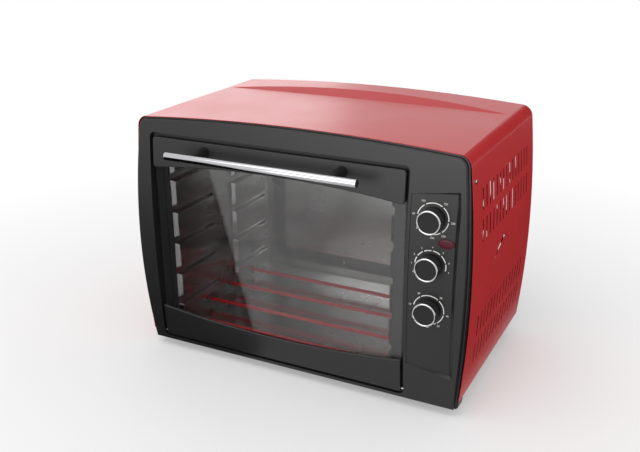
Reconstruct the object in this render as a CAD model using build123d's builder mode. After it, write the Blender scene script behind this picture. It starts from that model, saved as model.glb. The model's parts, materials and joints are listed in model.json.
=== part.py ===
"""Electric countertop oven: bowed front, glass drop door, three knobs, pressed steel cover."""

import os
from math import cos, radians, sin, sqrt, tan

from build123d import *

os.makedirs("parts", exist_ok=True)

# Body outline
face_half_width = 280.0
face_height = 395.7
side_bow = 11.5
crown_rise = 10.8
face_bow = 10.0
face_bow_tail = 15.7
top_corner_radius = 15.0
bottom_corner_radius = 12.0
ground_gap = 14.0

# Clearances: between fixed neighbours, round a fitted piece, and round a turning pin
seat_gap = 0.3
slip = 0.15
pin_fit = 0.05
cut_reach = 40.0

# Sheet metal cover
sheet = 0.8
cover_side_step = 5.0
cover_top_step = 4.0
cover_front_setback = 4.0
cover_depth = 328.6
cover_lift = 13.3
cover_corner_radius = 19.0
cover_flange = 14.0
flange_end_gap = 5.0
rise_run = 82.6
valley_drop = 8.0
valley_crown = 2.0
front_dip = 0.3
ramp_slope = 0.25

# Side vents and pressed dart
upper_vent_drops = (95.9, 141.7)
lower_vent_heights = (104.5, 58.5)
vent_length = 33.0
vent_width = 4.6
vent_count = 15
vent_first_setback = 49.5
vent_last_gap = 40.06
dart_half_length = 75.0
dart_height = 34.5
dart_press = 2.2
dart_setback = 160.0
dart_drop = 204.2

# Fascia and bezel ring
fascia_skin = 3.2
fascia_depth = 5.0
fascia_edge_radius = 2.8
shadow_gap = 1.5
rim_width = 7.0
ring_step = 2.7
ring_inset = 6.3
ring_back = 30.0
ring_edge_radius = 0.8
spigot_front = 8.0

# Door opening and door
opening_left_margin = 31.0
control_width = 90.0
opening_low = 6.5
opening_head = 29.4
opening_radius = 8.0
mullion = 4.2
door_side_gap = 5.2
door_bottom_gap = 4.9
door_top_gap = 6.9
door_corner_radius = 5.0
glass_thickness = 4.0
glass_setback = -1.0
glass_radius = 2.0
trim_lip = 2.5
trim_bevel = 1.0
lip_back = 2.0
top_band_depth = 43.3
top_band_arch = 13.5
bottom_band_centre = 52.5
bottom_band_arch = 15.0

# Hinge: pins in blocks at the door's lower corners
hinge_setback = 3.4
hinge_height = 14.6
pin_radius = 2.0
pin_depth = 14.0
pin_passage = 1.0
block_width = 22.0
block_high = 24.0
block_back = 6.0
block_round = 2.4
bracket_left_gap = 8.0
bracket_right_gap = 4.5
bracket_thickness = 3.5
bracket_room = 0.5
bracket_front = 0.6
bracket_low = 8.0
bracket_high = 21.0

# Stay arms and the rail that carries them
arm_insets = (4.8, 5.8)
arm_inner_radius = 22.0
arm_outer_radius = 30.0
arm_thickness = 2.0
arm_tail_angle = -9.0
arm_slot_gap = 0.8
rail_thickness = 2.0
rail_high = 47.0
rail_side_gap = 1.5

# Handle
handle_shift = 0.5
handle_length = 318.0
handle_radius = 6.25
handle_wall = 1.2
handle_reach = 45.0
handle_drop = 21.0
tube_lip = 0.4
post_inset = 42.0
post_base_radius = 8.5
post_tip_radius = 5.6
plug_recess = 1.5
plug_length = 8.0
screw_grip = 16.0

# Front plate and cavity
plate_setback = 7.2
frame_inset = 6.4
frame_flange = 27.0
mouth_margin = 9.0
mouth_rise = 6.0
mouth_radius = 8.0
cavity_left_inset = 24.0
cavity_right_inset = 25.0
cavity_floor = 22.0
cavity_head = 21.3
cavity_back_gap = 10.9
wall_flange = 11.0

# Pressed shelf pads on the cavity walls
pad_press = 8.0
pad_bevel_end = 10.0
pad_bevel_side = 3.0
pad_front_setback = 10.0
pad_middle_gap = 62.0
pad_rear_gap = 19.7
end_pad_height = 20.0
shelf_gap = 9.5
shelf_count = 5
top_shelf_drop = 53.5
lowest_shelf_rise = 49.5
spit_hole_radius = 2.2
spit_height = 175.7
spit_setback = 155.5

# Pressed panel in the back wall
back_press = 7.0
back_margin = 13.0
back_slope = 28.0
back_low_margin = 17.7
back_high_margin = 18.0
back_outer_radius = 17.0
back_inner_radius = 8.0

# Heating rods and their bushes
rod_radius = 3.25
rod_first_setback = 29.5
rod_last_gap = 72.0
rod_count = 4
rod_floor_gap = 14.5
rod_overhang = 12.0
rod_fit = 0.1
bush_radius = 7.0
bush_length = 9.0
bush_inside = 1.0

# Control recess and plate
panel_right_margin = 20.2
panel_bevel_width = 5.8
panel_left_low = 65.0
panel_left_head = 37.8
panel_right_low = 57.5
panel_right_head = 31.3
panel_rise = 5.5
panel_tilt = 3.2
panel_left_depth = 0.6
panel_side_tilt = 36.0
panel_flare = 2.2
panel_plate = 2.2
lamp_shift = 21.0
lamp_drop = 33.9
lamp_width = 23.0
lamp_tall = 12.4
lamp_rim = 1.0
lamp_body_radius = 5.0
lamp_body_length = 22.0
lens_proud = 0.9
lens_chamfer = 0.6

# Knobs and shafts
knob_inset = 36.3
knob_head = 69.8
knob_pitch = 68.6
knob_names = ("temperature", "function", "timer")
knob_radius = 17.2
knob_length = 18.0
knob_gap = 1.9
knob_wall = 2.0
knob_lip = 0.5
knob_ring_radius = 17.8
knob_ring_bore = 14.9
knob_ring_length = 3.0
knob_disc_recess = 0.5
ring_chamfer = 0.6
hub_radius = 6.5
shaft_radius = 3.0
shaft_flat = 1.2
shaft_fit = 0.05
shaft_back = 16.0

# Control bodies behind the front plate
bushing_radius = 4.6
neck_front = 1.5
nut_radius = 8.0
nut_thickness = 3.0
thermostat_radius = 17.0
thermostat_depth = 16.0
switch_size = 38.0
switch_depth = 30.0
switch_corner = 3.0
timer_radius = 24.0
timer_depth = 26.0
terminal_spacing = 10.0
terminal_thickness = 0.8
terminal_width = 6.3
terminal_length = 8.0
bell_radius = 20.0
bell_depth = 9.0
bell_wall = 1.2
bell_shoulder = 4.0
bell_gap = 1.5
bell_post_radius = 2.5
shield_gap = 19.5
shield_end_gap = 2.0

# Base pan and feet
base_front_setback = 34.5
base_lip = 12.0
pan_thickness = 1.0
pan_vent_column = 130.0
pan_vent_count = 6
pan_vent_pitch = 14.0
pan_vent_length = 60.0
pan_vent_width = 4.0
foot_radius = 14.0
foot_toe_radius = 11.5
foot_chamfer = 1.2
foot_recess_radius = 5.0
foot_recess_depth = 14.0
foot_inset = 48.0
foot_front_setback = 52.0
foot_rear_gap = 32.6

# Rear panel, cord gland and terminal block
rear_flange = 14.0
rear_vent_count = 9
rear_vent_pitch = 8.0
rear_vent_length = 56.0
rear_vent_width = 4.0
rear_vent_inset = 60.0
rear_vent_drops = (95.7, 163.7, 263.7)
rear_screw_insets = (80.0, 110.0)
gland_inset = 48.0
gland_height = 46.0
gland_radius = 9.0
gland_neck_radius = 6.5
gland_flange = 2.0
gland_inside = 4.0
gland_reach = 9.0
gland_bore = 4.2
terminal_gap = 40.6
block_length = 40.0
block_depth = 18.0
block_height = 16.0
block_bore = 2.2
block_chamfer = 3.0

# Screws
screw_radius = 3.4
screw_head = 1.6
screw_shank = 1.5
screw_length = 6.0
side_screw_setback = 17.0
side_screw_drop = 45.1
side_head_gap = 0.5

# Places that follow from the sizes above
cover_back_setback = cover_front_setback + cover_depth
face_bow_height = face_height - face_bow_tail
valley_setback = cover_back_setback - rise_run
upper_vent_heights = [face_height - drop for drop in upper_vent_drops]
vent_pitch = (cover_back_setback - vent_last_gap - vent_first_setback) / (vent_count - 1)
dart_low = face_height - dart_drop
opening_left = opening_left_margin - face_half_width
opening_right = face_half_width - control_width
opening_high = face_height - opening_head
door_left = opening_left + door_side_gap
door_right = opening_right - door_side_gap
door_low = opening_low + door_bottom_gap
door_high = opening_high - door_top_gap
door_middle = (door_left + door_right) / 2
top_band_centre = opening_high - top_band_depth
bracket_left = opening_left - bracket_left_gap
bracket_right = opening_right + bracket_right_gap
arm_columns = (door_left + arm_insets[0], door_right - arm_insets[1])
handle_centre = door_middle + handle_shift
handle_height = opening_high - handle_drop
post_reach = handle_length / 2 - post_inset
cavity_left = opening_left + cavity_left_inset
cavity_right = opening_right - cavity_right_inset
cavity_roof = opening_high - cavity_head
cavity_back = cover_back_setback - cavity_back_gap
pad_length = (cavity_back - pad_rear_gap - pad_front_setback - pad_middle_gap) / 2
pad_front_setbacks = (pad_front_setback, pad_front_setback + pad_length + pad_middle_gap)
top_shelf = cavity_roof - top_shelf_drop
lowest_shelf = cavity_floor + lowest_shelf_rise
pad_pitch = (top_shelf - lowest_shelf) / (shelf_count - 1)
back_low = cavity_floor + back_low_margin
back_high = cavity_roof - back_high_margin
rod_pitch = (cavity_back - rod_last_gap - rod_first_setback) / (rod_count - 1)
panel_left = opening_right + mullion
panel_right = face_half_width - panel_right_margin
panel_outer_right = panel_right + panel_bevel_width
panel_left_high = opening_high - panel_left_head
panel_right_high = opening_high - panel_right_head
knob_column = opening_right + knob_inset
knob_heights = [opening_high - knob_head - knob_pitch * row for row in range(len(knob_names))]
lamp_column = knob_column + lamp_shift
lamp_height = knob_heights[0] - lamp_drop
shield_column = cavity_right + shield_gap
foot_column = face_half_width - foot_inset
foot_setbacks = (foot_front_setback, cover_back_setback - foot_rear_gap)
rear_vent_column = face_half_width - rear_vent_inset
rear_vent_heights = [face_height - drop for drop in rear_vent_drops]
rear_screw_columns = (rear_screw_insets[0] - face_half_width, 0, face_half_width - rear_screw_insets[1])
gland_column = face_half_width - gland_inset
terminal_setback = cover_back_setback - terminal_gap
side_screw_height = face_height - side_screw_drop
handle_front = handle_reach + handle_radius
flange_length = cover_depth - ring_back - 2 * flange_end_gap
flange_middle = cover_front_setback + ring_back + flange_end_gap + flange_length / 2
face_y = (handle_front - cover_back_setback - gland_reach) / 2
BACKWARD = (0, 1, 0)
SIDEWAYS = (1, 0, 0)


def depth(setback):
    """Place along Y of something that lies a setback behind the face plane."""
    return face_y + setback


def level(height):
    """Place along Z of something that lies a height above the fascia's lower edge."""
    return ground_gap + height


bow_radius = ((face_bow_height / 2) ** 2 + face_bow**2) / (2 * face_bow)
side_span = (face_height - crown_rise) / 2
side_radius = (side_span**2 + side_bow**2) / (2 * side_bow)
crown_half = face_half_width - side_bow


def bow_at(height):
    """Setback of the bowed face at a height, negative where it stands forward."""
    drop = height - face_bow_height / 2
    return bow_radius - face_bow - sqrt(bow_radius**2 - drop**2)


def half_width_at(height):
    """Half width of the face at a height, with its bowed sides."""
    return face_half_width - side_radius + sqrt(side_radius**2 - (height - side_span) ** 2)


def at_depth(setback):
    """Sketch plane that faces forward, with its Y axis up."""
    return Plane.XZ.offset(-depth(setback))


def outline(setback, side=0.0, top=0.0, low=0.0, top_radius=0.0, low_radius=0.0):
    """Front outline of the body, moved out by side and top, with its lower edge at low."""
    corner_height = face_height - crown_rise + top
    corner = half_width_at(corner_height) + side
    low_half = half_width_at(low) + side
    with BuildSketch(at_depth(setback)) as sketch:
        with BuildLine():
            Line((-low_half, level(low)), (low_half, level(low)))
            ThreePointArc(
                (low_half, level(low)),
                (face_half_width + side, level(side_span)),
                (corner, level(corner_height)),
            )
            ThreePointArc(
                (corner, level(corner_height)),
                (0, level(face_height + top)),
                (-corner, level(corner_height)),
            )
            ThreePointArc(
                (-corner, level(corner_height)),
                (-face_half_width - side, level(side_span)),
                (-low_half, level(low)),
            )
        make_face()
        ends = sketch.vertices().group_by(Axis.Y)
        if top_radius > 0:
            fillet(ends[-1], top_radius)
        if low_radius > 0:
            fillet(ends[0], low_radius)
    return sketch.sketch


def bowed_slab(setback):
    """Everything behind the bowed face surface, moved back by a setback."""
    reach = 0.7 * face_bow_height
    end = bow_at(face_bow_height / 2 + reach) + setback
    with BuildPart() as slab:
        with BuildSketch(Plane.YZ.offset(-1.2 * face_half_width)):
            with BuildLine():
                ThreePointArc(
                    (depth(end), level(face_bow_height / 2 - reach)),
                    (depth(setback - face_bow), level(face_bow_height / 2)),
                    (depth(end), level(face_bow_height / 2 + reach)),
                )
                Polyline(
                    (depth(end), level(face_bow_height / 2 + reach)),
                    (depth(setback + cut_reach), level(face_bow_height / 2 + reach)),
                    (depth(setback + cut_reach), level(face_bow_height / 2 - reach)),
                    (depth(end), level(face_bow_height / 2 - reach)),
                )
            make_face()
        extrude(amount=2.4 * face_half_width)
    return slab.part


def front_frame_shape(setback, x_low, x_high, z_low, z_high, radius):
    """Rounded rectangle in a forward-facing plane."""
    with BuildSketch(at_depth(setback)) as sketch:
        with Locations(((x_low + x_high) / 2, level((z_low + z_high) / 2))):
            RectangleRounded(x_high - x_low, z_high - z_low, radius)
    return sketch.sketch


def save(part, name):
    """Label a finished piece and write its STEP file."""
    part.label = name
    export_step(part, f"parts/{name}.step")


# Outer cover: one pressed sheet, crowned, with a dished top, a rear rise and darts
def crown_section(setback, drop_front, skin):
    """Region above the cover's crown line at one depth."""
    half = face_half_width + cut_reach / 2
    top = face_height + cover_top_step - drop_front - skin
    fall = crown_rise * (half / crown_half) ** 2
    with BuildSketch(at_depth(setback)) as sketch:
        with BuildLine():
            ThreePointArc((-half, level(top - fall)), (0, level(top)), (half, level(top - fall)))
            Polyline(
                (half, level(top - fall)),
                (half, level(top + cut_reach)),
                (-half, level(top + cut_reach)),
                (-half, level(top - fall)),
            )
        make_face()
    return sketch.sketch


def valley_section(setback, rise, skin):
    """Region above the flat line at the foot of the rear rise."""
    half = face_half_width + cut_reach / 2
    top = face_height + cover_top_step - valley_drop + rise - skin
    with BuildSketch(at_depth(setback)) as sketch:
        with BuildLine():
            ThreePointArc(
                (-half, level(top - valley_crown)),
                (0, level(top)),
                (half, level(top - valley_crown)),
            )
            Polyline(
                (half, level(top - valley_crown)),
                (half, level(top + cut_reach)),
                (-half, level(top + cut_reach)),
                (-half, level(top - valley_crown)),
            )
        make_face()
    return sketch.sketch


def top_dish(skin):
    """Cutter that dishes the cover's top and leaves the crescent rise near its rear edge."""
    ramp_run = 100.0
    with BuildPart() as dish:
        add(crown_section(cover_front_setback - 2, front_dip, skin))
        add(valley_section(valley_setback, 0, skin))
        loft(ruled=True)
        add(valley_section(valley_setback, 0, skin))
        add(valley_section(valley_setback + ramp_run, ramp_run * ramp_slope, skin))
        loft(ruled=True)
    return dish.part


def side_dart(skin):
    """Pressed triangle on the right side, flush at its foot and proud at its upper edges."""
    surface = face_half_width + cover_side_step - skin
    with BuildPart() as dart:
        with BuildSketch(Plane.YZ.offset(surface - 12)):
            with BuildLine():
                Polyline(
                    (depth(dart_setback - dart_half_length), level(dart_low)),
                    (depth(dart_setback + dart_half_length), level(dart_low)),
                    (depth(dart_setback), level(dart_low + dart_height)),
                    close=True,
                )
            make_face()
        extrude(amount=24)
        split(
            bisect_by=Plane(
                origin=(surface, depth(dart_setback), level(dart_low)),
                x_dir=(0, 1, 0),
                z_dir=(dart_height, 0, -dart_press),
            ),
            keep=Keep.BOTTOM,
        )
    return dart.part


def cover_block(skin, ends):
    """Solid of the cover's shape with its walls moved in by skin, and longer by ends."""
    with BuildPart() as block:
        add(
            outline(
                cover_front_setback - ends,
                cover_side_step - skin,
                cover_top_step - skin,
                cover_lift - 10 * ends,
                cover_corner_radius - skin,
            )
        )
        extrude(amount=cover_depth + 2 * ends, dir=BACKWARD)
        add(top_dish(skin), mode=Mode.SUBTRACT)
        dart = side_dart(skin)
        add(dart)
        add(mirror(dart, about=Plane.YZ, mode=Mode.PRIVATE))
    return block.part


def vent_row(low, side):
    """Cutter for one row of upright slots through a side wall."""
    middle = vent_first_setback + vent_pitch * (vent_count - 1) / 2
    start = side * (face_half_width - 20)
    with BuildPart() as row:
        with BuildSketch(Plane.YZ.offset(start)):
            with Locations((depth(middle), level(low + vent_length / 2))):
                with GridLocations(vent_pitch, 0, vent_count, 1):
                    Rectangle(vent_width, vent_length)
        extrude(amount=side * 40)
    return row.part


with BuildPart() as outer_cover:
    add(cover_block(0, 0))
    add(cover_block(sheet, 1), mode=Mode.SUBTRACT)
    # holes for the screws into the bezel ring
    with BuildSketch(Plane.YZ.offset(-1.2 * face_half_width)):
        with Locations((depth(side_screw_setback), level(side_screw_height))):
            Circle(screw_shank + slip)
    extrude(amount=2.4 * face_half_width, mode=Mode.SUBTRACT)
    # turned-in lower flanges
    for side in (-1, 1):
        edge = side * (half_width_at(cover_lift) + cover_side_step - sheet / 2)
        with BuildSketch(Plane.XY.offset(level(cover_lift))):
            with Locations((edge - side * cover_flange / 2, depth(flange_middle))):
                Rectangle(cover_flange, flange_length)
        extrude(amount=sheet)
    for low in (*upper_vent_heights, *lower_vent_heights):
        add(vent_row(low, 1), mode=Mode.SUBTRACT)
    for low in (upper_vent_heights[0], lower_vent_heights[-1]):
        add(vent_row(low, -1), mode=Mode.SUBTRACT)
save(outer_cover.part, "outer_cover")


# Fascia: bowed plastic moulding with the door opening and the flared control recess
def door_opening(setback, grow=0.0):
    """Outline of the opening that the door closes, moved out by grow."""
    return front_frame_shape(
        setback,
        opening_left - grow,
        opening_right + grow,
        opening_low - grow,
        opening_high + grow,
        opening_radius + grow,
    )


def panel_shape(setback, spread):
    """Flared outline of the control recess; spread 0 is its floor and 1 its outer edge."""
    right = panel_right + spread * (panel_outer_right - panel_right)
    rise = spread * panel_rise
    with BuildSketch(at_depth(setback)) as sketch:
        with BuildLine():
            Polyline(
                (panel_left, level(panel_left_low)),
                (right, level(panel_right_low - rise)),
                (right, level(panel_right_high + rise)),
                (panel_left, level(panel_left_high)),
                close=True,
            )
        make_face()
    return sketch.sketch


def turned(slab, column, setback, angle):
    """The slab turned about an upright line, so that it lies deeper to one side."""
    pivot = Location((column, depth(setback), 0))
    return pivot * Rot(0, 0, angle) * pivot.inverse() * slab


def panel_floor(setback):
    """Everything behind the recess floor, which lies deeper towards the right."""
    return turned(bowed_slab(panel_left_depth + setback), panel_left, -face_bow / 2, panel_tilt)


def panel_recess():
    """Cutter for the recess, with bevels at three edges and a passage for the plate."""
    with BuildPart() as recess:
        add(panel_shape(0, 0))
        add(panel_shape(-1.2 * face_bow, panel_flare))
        loft(ruled=True)
        add(panel_floor(0), mode=Mode.SUBTRACT)
        side_bevel = turned(bowed_slab(0), panel_outer_right, -0.8 * face_bow, -panel_side_tilt)
        add(side_bevel, mode=Mode.SUBTRACT)
        add(panel_shape(-2 * face_bow, 0))
        extrude(amount=2 * face_bow + 2 * plate_setback, dir=BACKWARD)
    return recess.part


def edge_band(setback, inset):
    """Cutter for the outer band of the body outline behind the bowed face."""
    with BuildPart() as band:
        add(outline(-face_bow - 5, 5, 5, -5))
        extrude(amount=60, dir=BACKWARD)
        add(
            outline(
                -face_bow - 6, -inset, -inset, inset, top_corner_radius - inset, bottom_corner_radius - inset
            )
        )
        extrude(amount=80, dir=BACKWARD, mode=Mode.SUBTRACT)
        add(bowed_slab(setback), mode=Mode.INTERSECT)
    return band.part


def fascia_pocket():
    """Hollow behind the fascia's skin, less the collars round its two openings."""
    with BuildPart() as pocket:
        add(
            outline(
                -face_bow - 5,
                -rim_width,
                -rim_width,
                rim_width,
                top_corner_radius - rim_width,
                bottom_corner_radius - rim_width,
            )
        )
        extrude(amount=face_bow + 5 + 2 * plate_setback, dir=BACKWARD)
        add(bowed_slab(fascia_skin), mode=Mode.INTERSECT)
        add(door_opening(-face_bow - 5, mullion))
        extrude(amount=face_bow + 5 + plate_setback, dir=BACKWARD, mode=Mode.SUBTRACT)
        add(
            front_frame_shape(
                -face_bow - 5,
                opening_right,
                face_half_width + 5,
                panel_right_low - panel_rise - mullion,
                panel_right_high + panel_rise + mullion,
                1,
            )
        )
        extrude(amount=face_bow + 5 + panel_plate, dir=BACKWARD, mode=Mode.SUBTRACT)
    return pocket.part


with BuildPart() as fascia:
    add(outline(-face_bow - 5, top_radius=top_corner_radius, low_radius=bottom_corner_radius))
    extrude(amount=face_bow + 5 + plate_setback, dir=BACKWARD)
    add(bowed_slab(0), mode=Mode.INTERSECT)
    fillet(fascia.faces().sort_by(Axis.Y)[0].edges(), fascia_edge_radius)
    add(fascia_pocket(), mode=Mode.SUBTRACT)
    # rear rim: a shadow gap, then room for the bezel ring
    add(edge_band(fascia_skin, shadow_gap), mode=Mode.SUBTRACT)
    add(edge_band(fascia_depth, rim_width), mode=Mode.SUBTRACT)
    # door opening, control recess and the seat of the control plate
    add(door_opening(-face_bow - 5))
    extrude(amount=face_bow + 10 + plate_setback, dir=BACKWARD, mode=Mode.SUBTRACT)
    add(panel_recess(), mode=Mode.SUBTRACT)
    # recesses for the hinge brackets and passages for the hinge pins
    for bracket, wall in ((bracket_left, opening_left), (bracket_right, opening_right)):
        with BuildSketch(Plane.YZ.offset(bracket - bracket_room)):
            with Locations((depth(plate_setback), level((bracket_low + bracket_high) / 2))):
                Rectangle(
                    2 * (plate_setback - bracket_front + bracket_room),
                    bracket_high - bracket_low + 2 * bracket_room,
                )
        extrude(amount=bracket_thickness + 2 * bracket_room, mode=Mode.SUBTRACT)
        with BuildSketch(Plane.YZ.offset(wall)):
            with Locations((depth(hinge_setback), level(hinge_height))):
                Circle(pin_radius + pin_passage)
        extrude(amount=1.5 * mullion, both=True, mode=Mode.SUBTRACT)
save(fascia.part, "fascia")


# Bezel ring: stands behind the shadow gap, with a spigot that the cover slips over
def ring_spigot():
    """Rear part of the ring, which follows the inside of the cover."""
    step = sheet + seat_gap
    with BuildPart() as spigot:
        add(
            outline(
                spigot_front,
                cover_side_step - step,
                cover_top_step - step,
                0,
                cover_corner_radius - step,
                bottom_corner_radius + ring_step,
            )
        )
        extrude(amount=ring_back - spigot_front, dir=BACKWARD)
        add(top_dish(step), mode=Mode.SUBTRACT)
    return spigot.part


with BuildPart() as bezel_ring:
    add(
        outline(
            -face_bow,
            ring_step,
            ring_step,
            0,
            top_corner_radius + ring_step,
            bottom_corner_radius + ring_step,
        )
    )
    extrude(amount=face_bow + spigot_front, dir=BACKWARD)
    add(bowed_slab(fascia_depth), mode=Mode.INTERSECT)
    fillet(bezel_ring.faces().sort_by(Axis.Y)[0].outer_wire().edges(), ring_edge_radius)
    add(ring_spigot())
    add(
        outline(
            -face_bow - 1,
            -ring_inset,
            -ring_inset,
            ring_inset,
            top_corner_radius - ring_inset,
            bottom_corner_radius - ring_inset,
        )
    )
    extrude(amount=face_bow + ring_back + 2, dir=BACKWARD, mode=Mode.SUBTRACT)
    # holes for the two cover screws beside the fascia
    with BuildSketch(Plane.YZ.offset(-1.2 * face_half_width)):
        with Locations((depth(side_screw_setback), level(side_screw_height))):
            Circle(screw_shank + slip)
    extrude(amount=2.4 * face_half_width, mode=Mode.SUBTRACT)
save(bezel_ring.part, "bezel_ring")


# Front plate: folded steel, carries the hinges, the cavity mouth and the controls
def plate_outline(setback, inset):
    """Outline of the front plate, which stands inside the bezel ring."""
    return outline(
        setback, -inset, -inset, inset, top_corner_radius - inset, max(bottom_corner_radius - inset, 1)
    )


slot_low = sqrt(arm_inner_radius**2 - (plate_setback + sheet - hinge_setback) ** 2)
slot_high = sqrt(arm_outer_radius**2 - (plate_setback - hinge_setback) ** 2)
with BuildPart() as front_plate:
    add(plate_outline(plate_setback, frame_inset))
    extrude(amount=frame_flange, dir=BACKWARD)
    add(plate_outline(plate_setback + sheet, frame_inset + sheet))
    extrude(amount=frame_flange, dir=BACKWARD, mode=Mode.SUBTRACT)
    add(
        front_frame_shape(
            plate_setback - 1,
            cavity_left - mouth_margin,
            cavity_right + mouth_margin,
            cavity_floor - mouth_margin,
            cavity_roof + mouth_rise,
            mouth_radius,
        )
    )
    extrude(amount=sheet + 2, dir=BACKWARD, mode=Mode.SUBTRACT)
    with BuildSketch(at_depth(plate_setback - 1)):
        for column in arm_columns:
            with Locations((column, level(hinge_height + (slot_low + slot_high) / 2))):
                Rectangle(arm_thickness + 2 * arm_slot_gap, slot_high - slot_low + 2 * arm_slot_gap)
        for height in knob_heights:
            with Locations((knob_column, level(height))):
                Circle(bushing_radius + slip)
        with Locations((lamp_column, level(lamp_height))):
            Circle(lamp_body_radius + slip)
    extrude(amount=sheet + 2, dir=BACKWARD, mode=Mode.SUBTRACT)
save(front_plate.part, "front_plate")


# Control plate: flared insert that lies flush in the recess of the fascia
def lamp_oval(setback, grow):
    """Oval of the lamp lens in a forward-facing plane."""
    with BuildSketch(at_depth(setback)) as sketch:
        with Locations((lamp_column, level(lamp_height))):
            Ellipse(lamp_width / 2 + grow, lamp_tall / 2 + grow)
    return sketch.sketch


with BuildPart() as control_plate:
    with BuildSketch(at_depth(-2 * face_bow)):
        with BuildLine():
            Polyline(
                (panel_left + slip, level(panel_left_low + slip)),
                (panel_right - slip, level(panel_right_low + slip)),
                (panel_right - slip, level(panel_right_high - slip)),
                (panel_left + slip, level(panel_left_high - slip)),
                close=True,
            )
        make_face()
    extrude(amount=3 * face_bow, dir=BACKWARD)
    add(panel_floor(0), mode=Mode.INTERSECT)
    add(panel_floor(panel_plate), mode=Mode.SUBTRACT)
    with BuildSketch(at_depth(-2 * face_bow)):
        for height in knob_heights:
            with Locations((knob_column, level(height))):
                Circle(bushing_radius + slip)
    extrude(amount=3 * face_bow, dir=BACKWARD, mode=Mode.SUBTRACT)
    add(lamp_oval(-2 * face_bow, slip))
    extrude(amount=3 * face_bow, dir=BACKWARD, mode=Mode.SUBTRACT)
save(control_plate.part, "control_plate")


# Indicator lamp: domed oval lens in the control plate, lamp body through the front plate
def panel_at(column, height):
    """Setback of the control plate's front surface at a place on it."""
    return bow_at(height) + panel_left_depth + tan(radians(panel_tilt)) * (column - panel_left)


lens_front = panel_at(lamp_column, lamp_height) - lens_proud
lens_seat = panel_at(lamp_column + lamp_width / 2, lamp_height + lamp_tall / 2) + panel_plate + seat_gap
with BuildPart() as indicator_lens:
    add(lamp_oval(lens_front, 0))
    extrude(amount=lens_seat - lens_front, dir=BACKWARD)
    chamfer(indicator_lens.faces().sort_by(Axis.Y)[0].edges(), lens_chamfer)
    add(lamp_oval(lens_seat, lamp_rim))
    extrude(amount=lamp_rim, dir=BACKWARD)
save(indicator_lens.part, "indicator_lens")

with BuildPart() as indicator_lamp:
    with BuildSketch(at_depth(lens_seat + lamp_rim + seat_gap)):
        with Locations((lamp_column, level(lamp_height))):
            Circle(lamp_body_radius)
    extrude(amount=lamp_body_length, dir=BACKWARD)
    with BuildSketch(at_depth(plate_setback - lamp_rim)):
        with Locations((lamp_column, level(lamp_height))):
            Circle(lamp_body_radius + 2 * lamp_rim)
    extrude(amount=lamp_rim, dir=BACKWARD)
save(indicator_lamp.part, "indicator_lamp")


# Door glass, with its lower corners notched for the hinge blocks
glass_low = door_low + trim_lip
glass_high = door_high - trim_lip
glass_back = glass_setback + glass_thickness
post_columns = (handle_centre - post_reach, handle_centre + post_reach)


def post_circles(setback, radius):
    """Circles on the two handle posts' axes in a forward-facing plane."""
    with BuildSketch(at_depth(setback)) as sketch:
        for column in post_columns:
            with Locations((column, level(handle_height))):
                Circle(radius)
    return sketch.sketch


def corner_blocks(setback, grow):
    """Rectangles in the door's lower corners, moved out by grow, where the hinge pins sit."""
    with BuildSketch(at_depth(setback)) as sketch:
        for edge, side in ((door_left, 1), (door_right, -1)):
            with Locations((edge + side * block_width / 2, level((door_low + block_high) / 2))):
                Rectangle(block_width + 2 * grow, block_high - door_low + 2 * grow)
    return sketch.sketch


with BuildPart() as door_glass:
    add(front_frame_shape(glass_setback, door_left, door_right, glass_low, glass_high, glass_radius))
    extrude(amount=glass_thickness, dir=BACKWARD)
    add(corner_blocks(glass_setback - 1, slip))
    extrude(amount=glass_thickness + 2, dir=BACKWARD, mode=Mode.SUBTRACT)
    add(post_circles(glass_setback - 1, screw_shank + slip))
    extrude(amount=glass_thickness + 2, dir=BACKWARD, mode=Mode.SUBTRACT)
save(door_glass.part, "door_glass")


# Door trims: bowed bands with arched inner edges, flush with the fascia when shut
def door_plate(setback):
    """Outline of the whole door in a forward-facing plane."""
    return front_frame_shape(setback, door_left, door_right, door_low, door_high, door_corner_radius)


def arched_band(setback, edge, centre, ends, far):
    """Region between an arched edge and a straight line beyond the door."""
    with BuildSketch(at_depth(setback)) as sketch:
        with BuildLine():
            ThreePointArc(
                (door_left - edge, level(ends)),
                (door_middle, level(centre)),
                (door_right + edge, level(ends)),
            )
            Polyline(
                (door_right + edge, level(ends)),
                (door_right + edge, level(far)),
                (door_left - edge, level(far)),
                (door_left - edge, level(ends)),
            )
        make_face()
    return sketch.sketch


with BuildPart() as door_top_trim:
    add(door_plate(-face_bow - 5))
    extrude(amount=face_bow + 5 + glass_back, dir=BACKWARD)
    add(bowed_slab(0), mode=Mode.INTERSECT)
    top_ends = top_band_centre - top_band_arch
    add(arched_band(-face_bow - 6, 5, top_band_centre, top_ends, door_low - 5))
    extrude(amount=face_bow + 10 + glass_back, dir=BACKWARD, mode=Mode.SUBTRACT)
    fillet(door_top_trim.edges().filter_by(Axis.Y).group_by(Axis.Z)[0], door_corner_radius)
    chamfer(door_top_trim.faces().sort_by(Axis.Y)[0].edges().sort_by(Axis.Z)[0], trim_bevel)
    with BuildSketch(at_depth(glass_setback)):
        with Locations((door_middle, level(glass_high / 2))):
            Rectangle(door_right - door_left + 10, glass_high + 2 * slip)
    extrude(amount=glass_thickness + 2, dir=BACKWARD, mode=Mode.SUBTRACT)
    add(post_circles(-face_bow, screw_shank + slip))
    extrude(amount=face_bow, dir=BACKWARD, mode=Mode.SUBTRACT)
save(door_top_trim.part, "door_top_trim")


def hinge_block_shape(column):
    """Section of a hinge block, rounded below so that it turns clear of the front plate."""
    middle = (glass_setback + block_back) / 2
    with BuildSketch(Plane.YZ.offset(column)) as sketch:
        with Locations((depth(middle), level((door_low + block_high) / 2))):
            Rectangle(block_back - glass_setback, block_high - door_low)
        lower_corners = sketch.vertices().group_by(Axis.Y)[0]
        fillet(lower_corners.sort_by(Axis.X)[-1], block_round)
    return sketch.sketch


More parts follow.
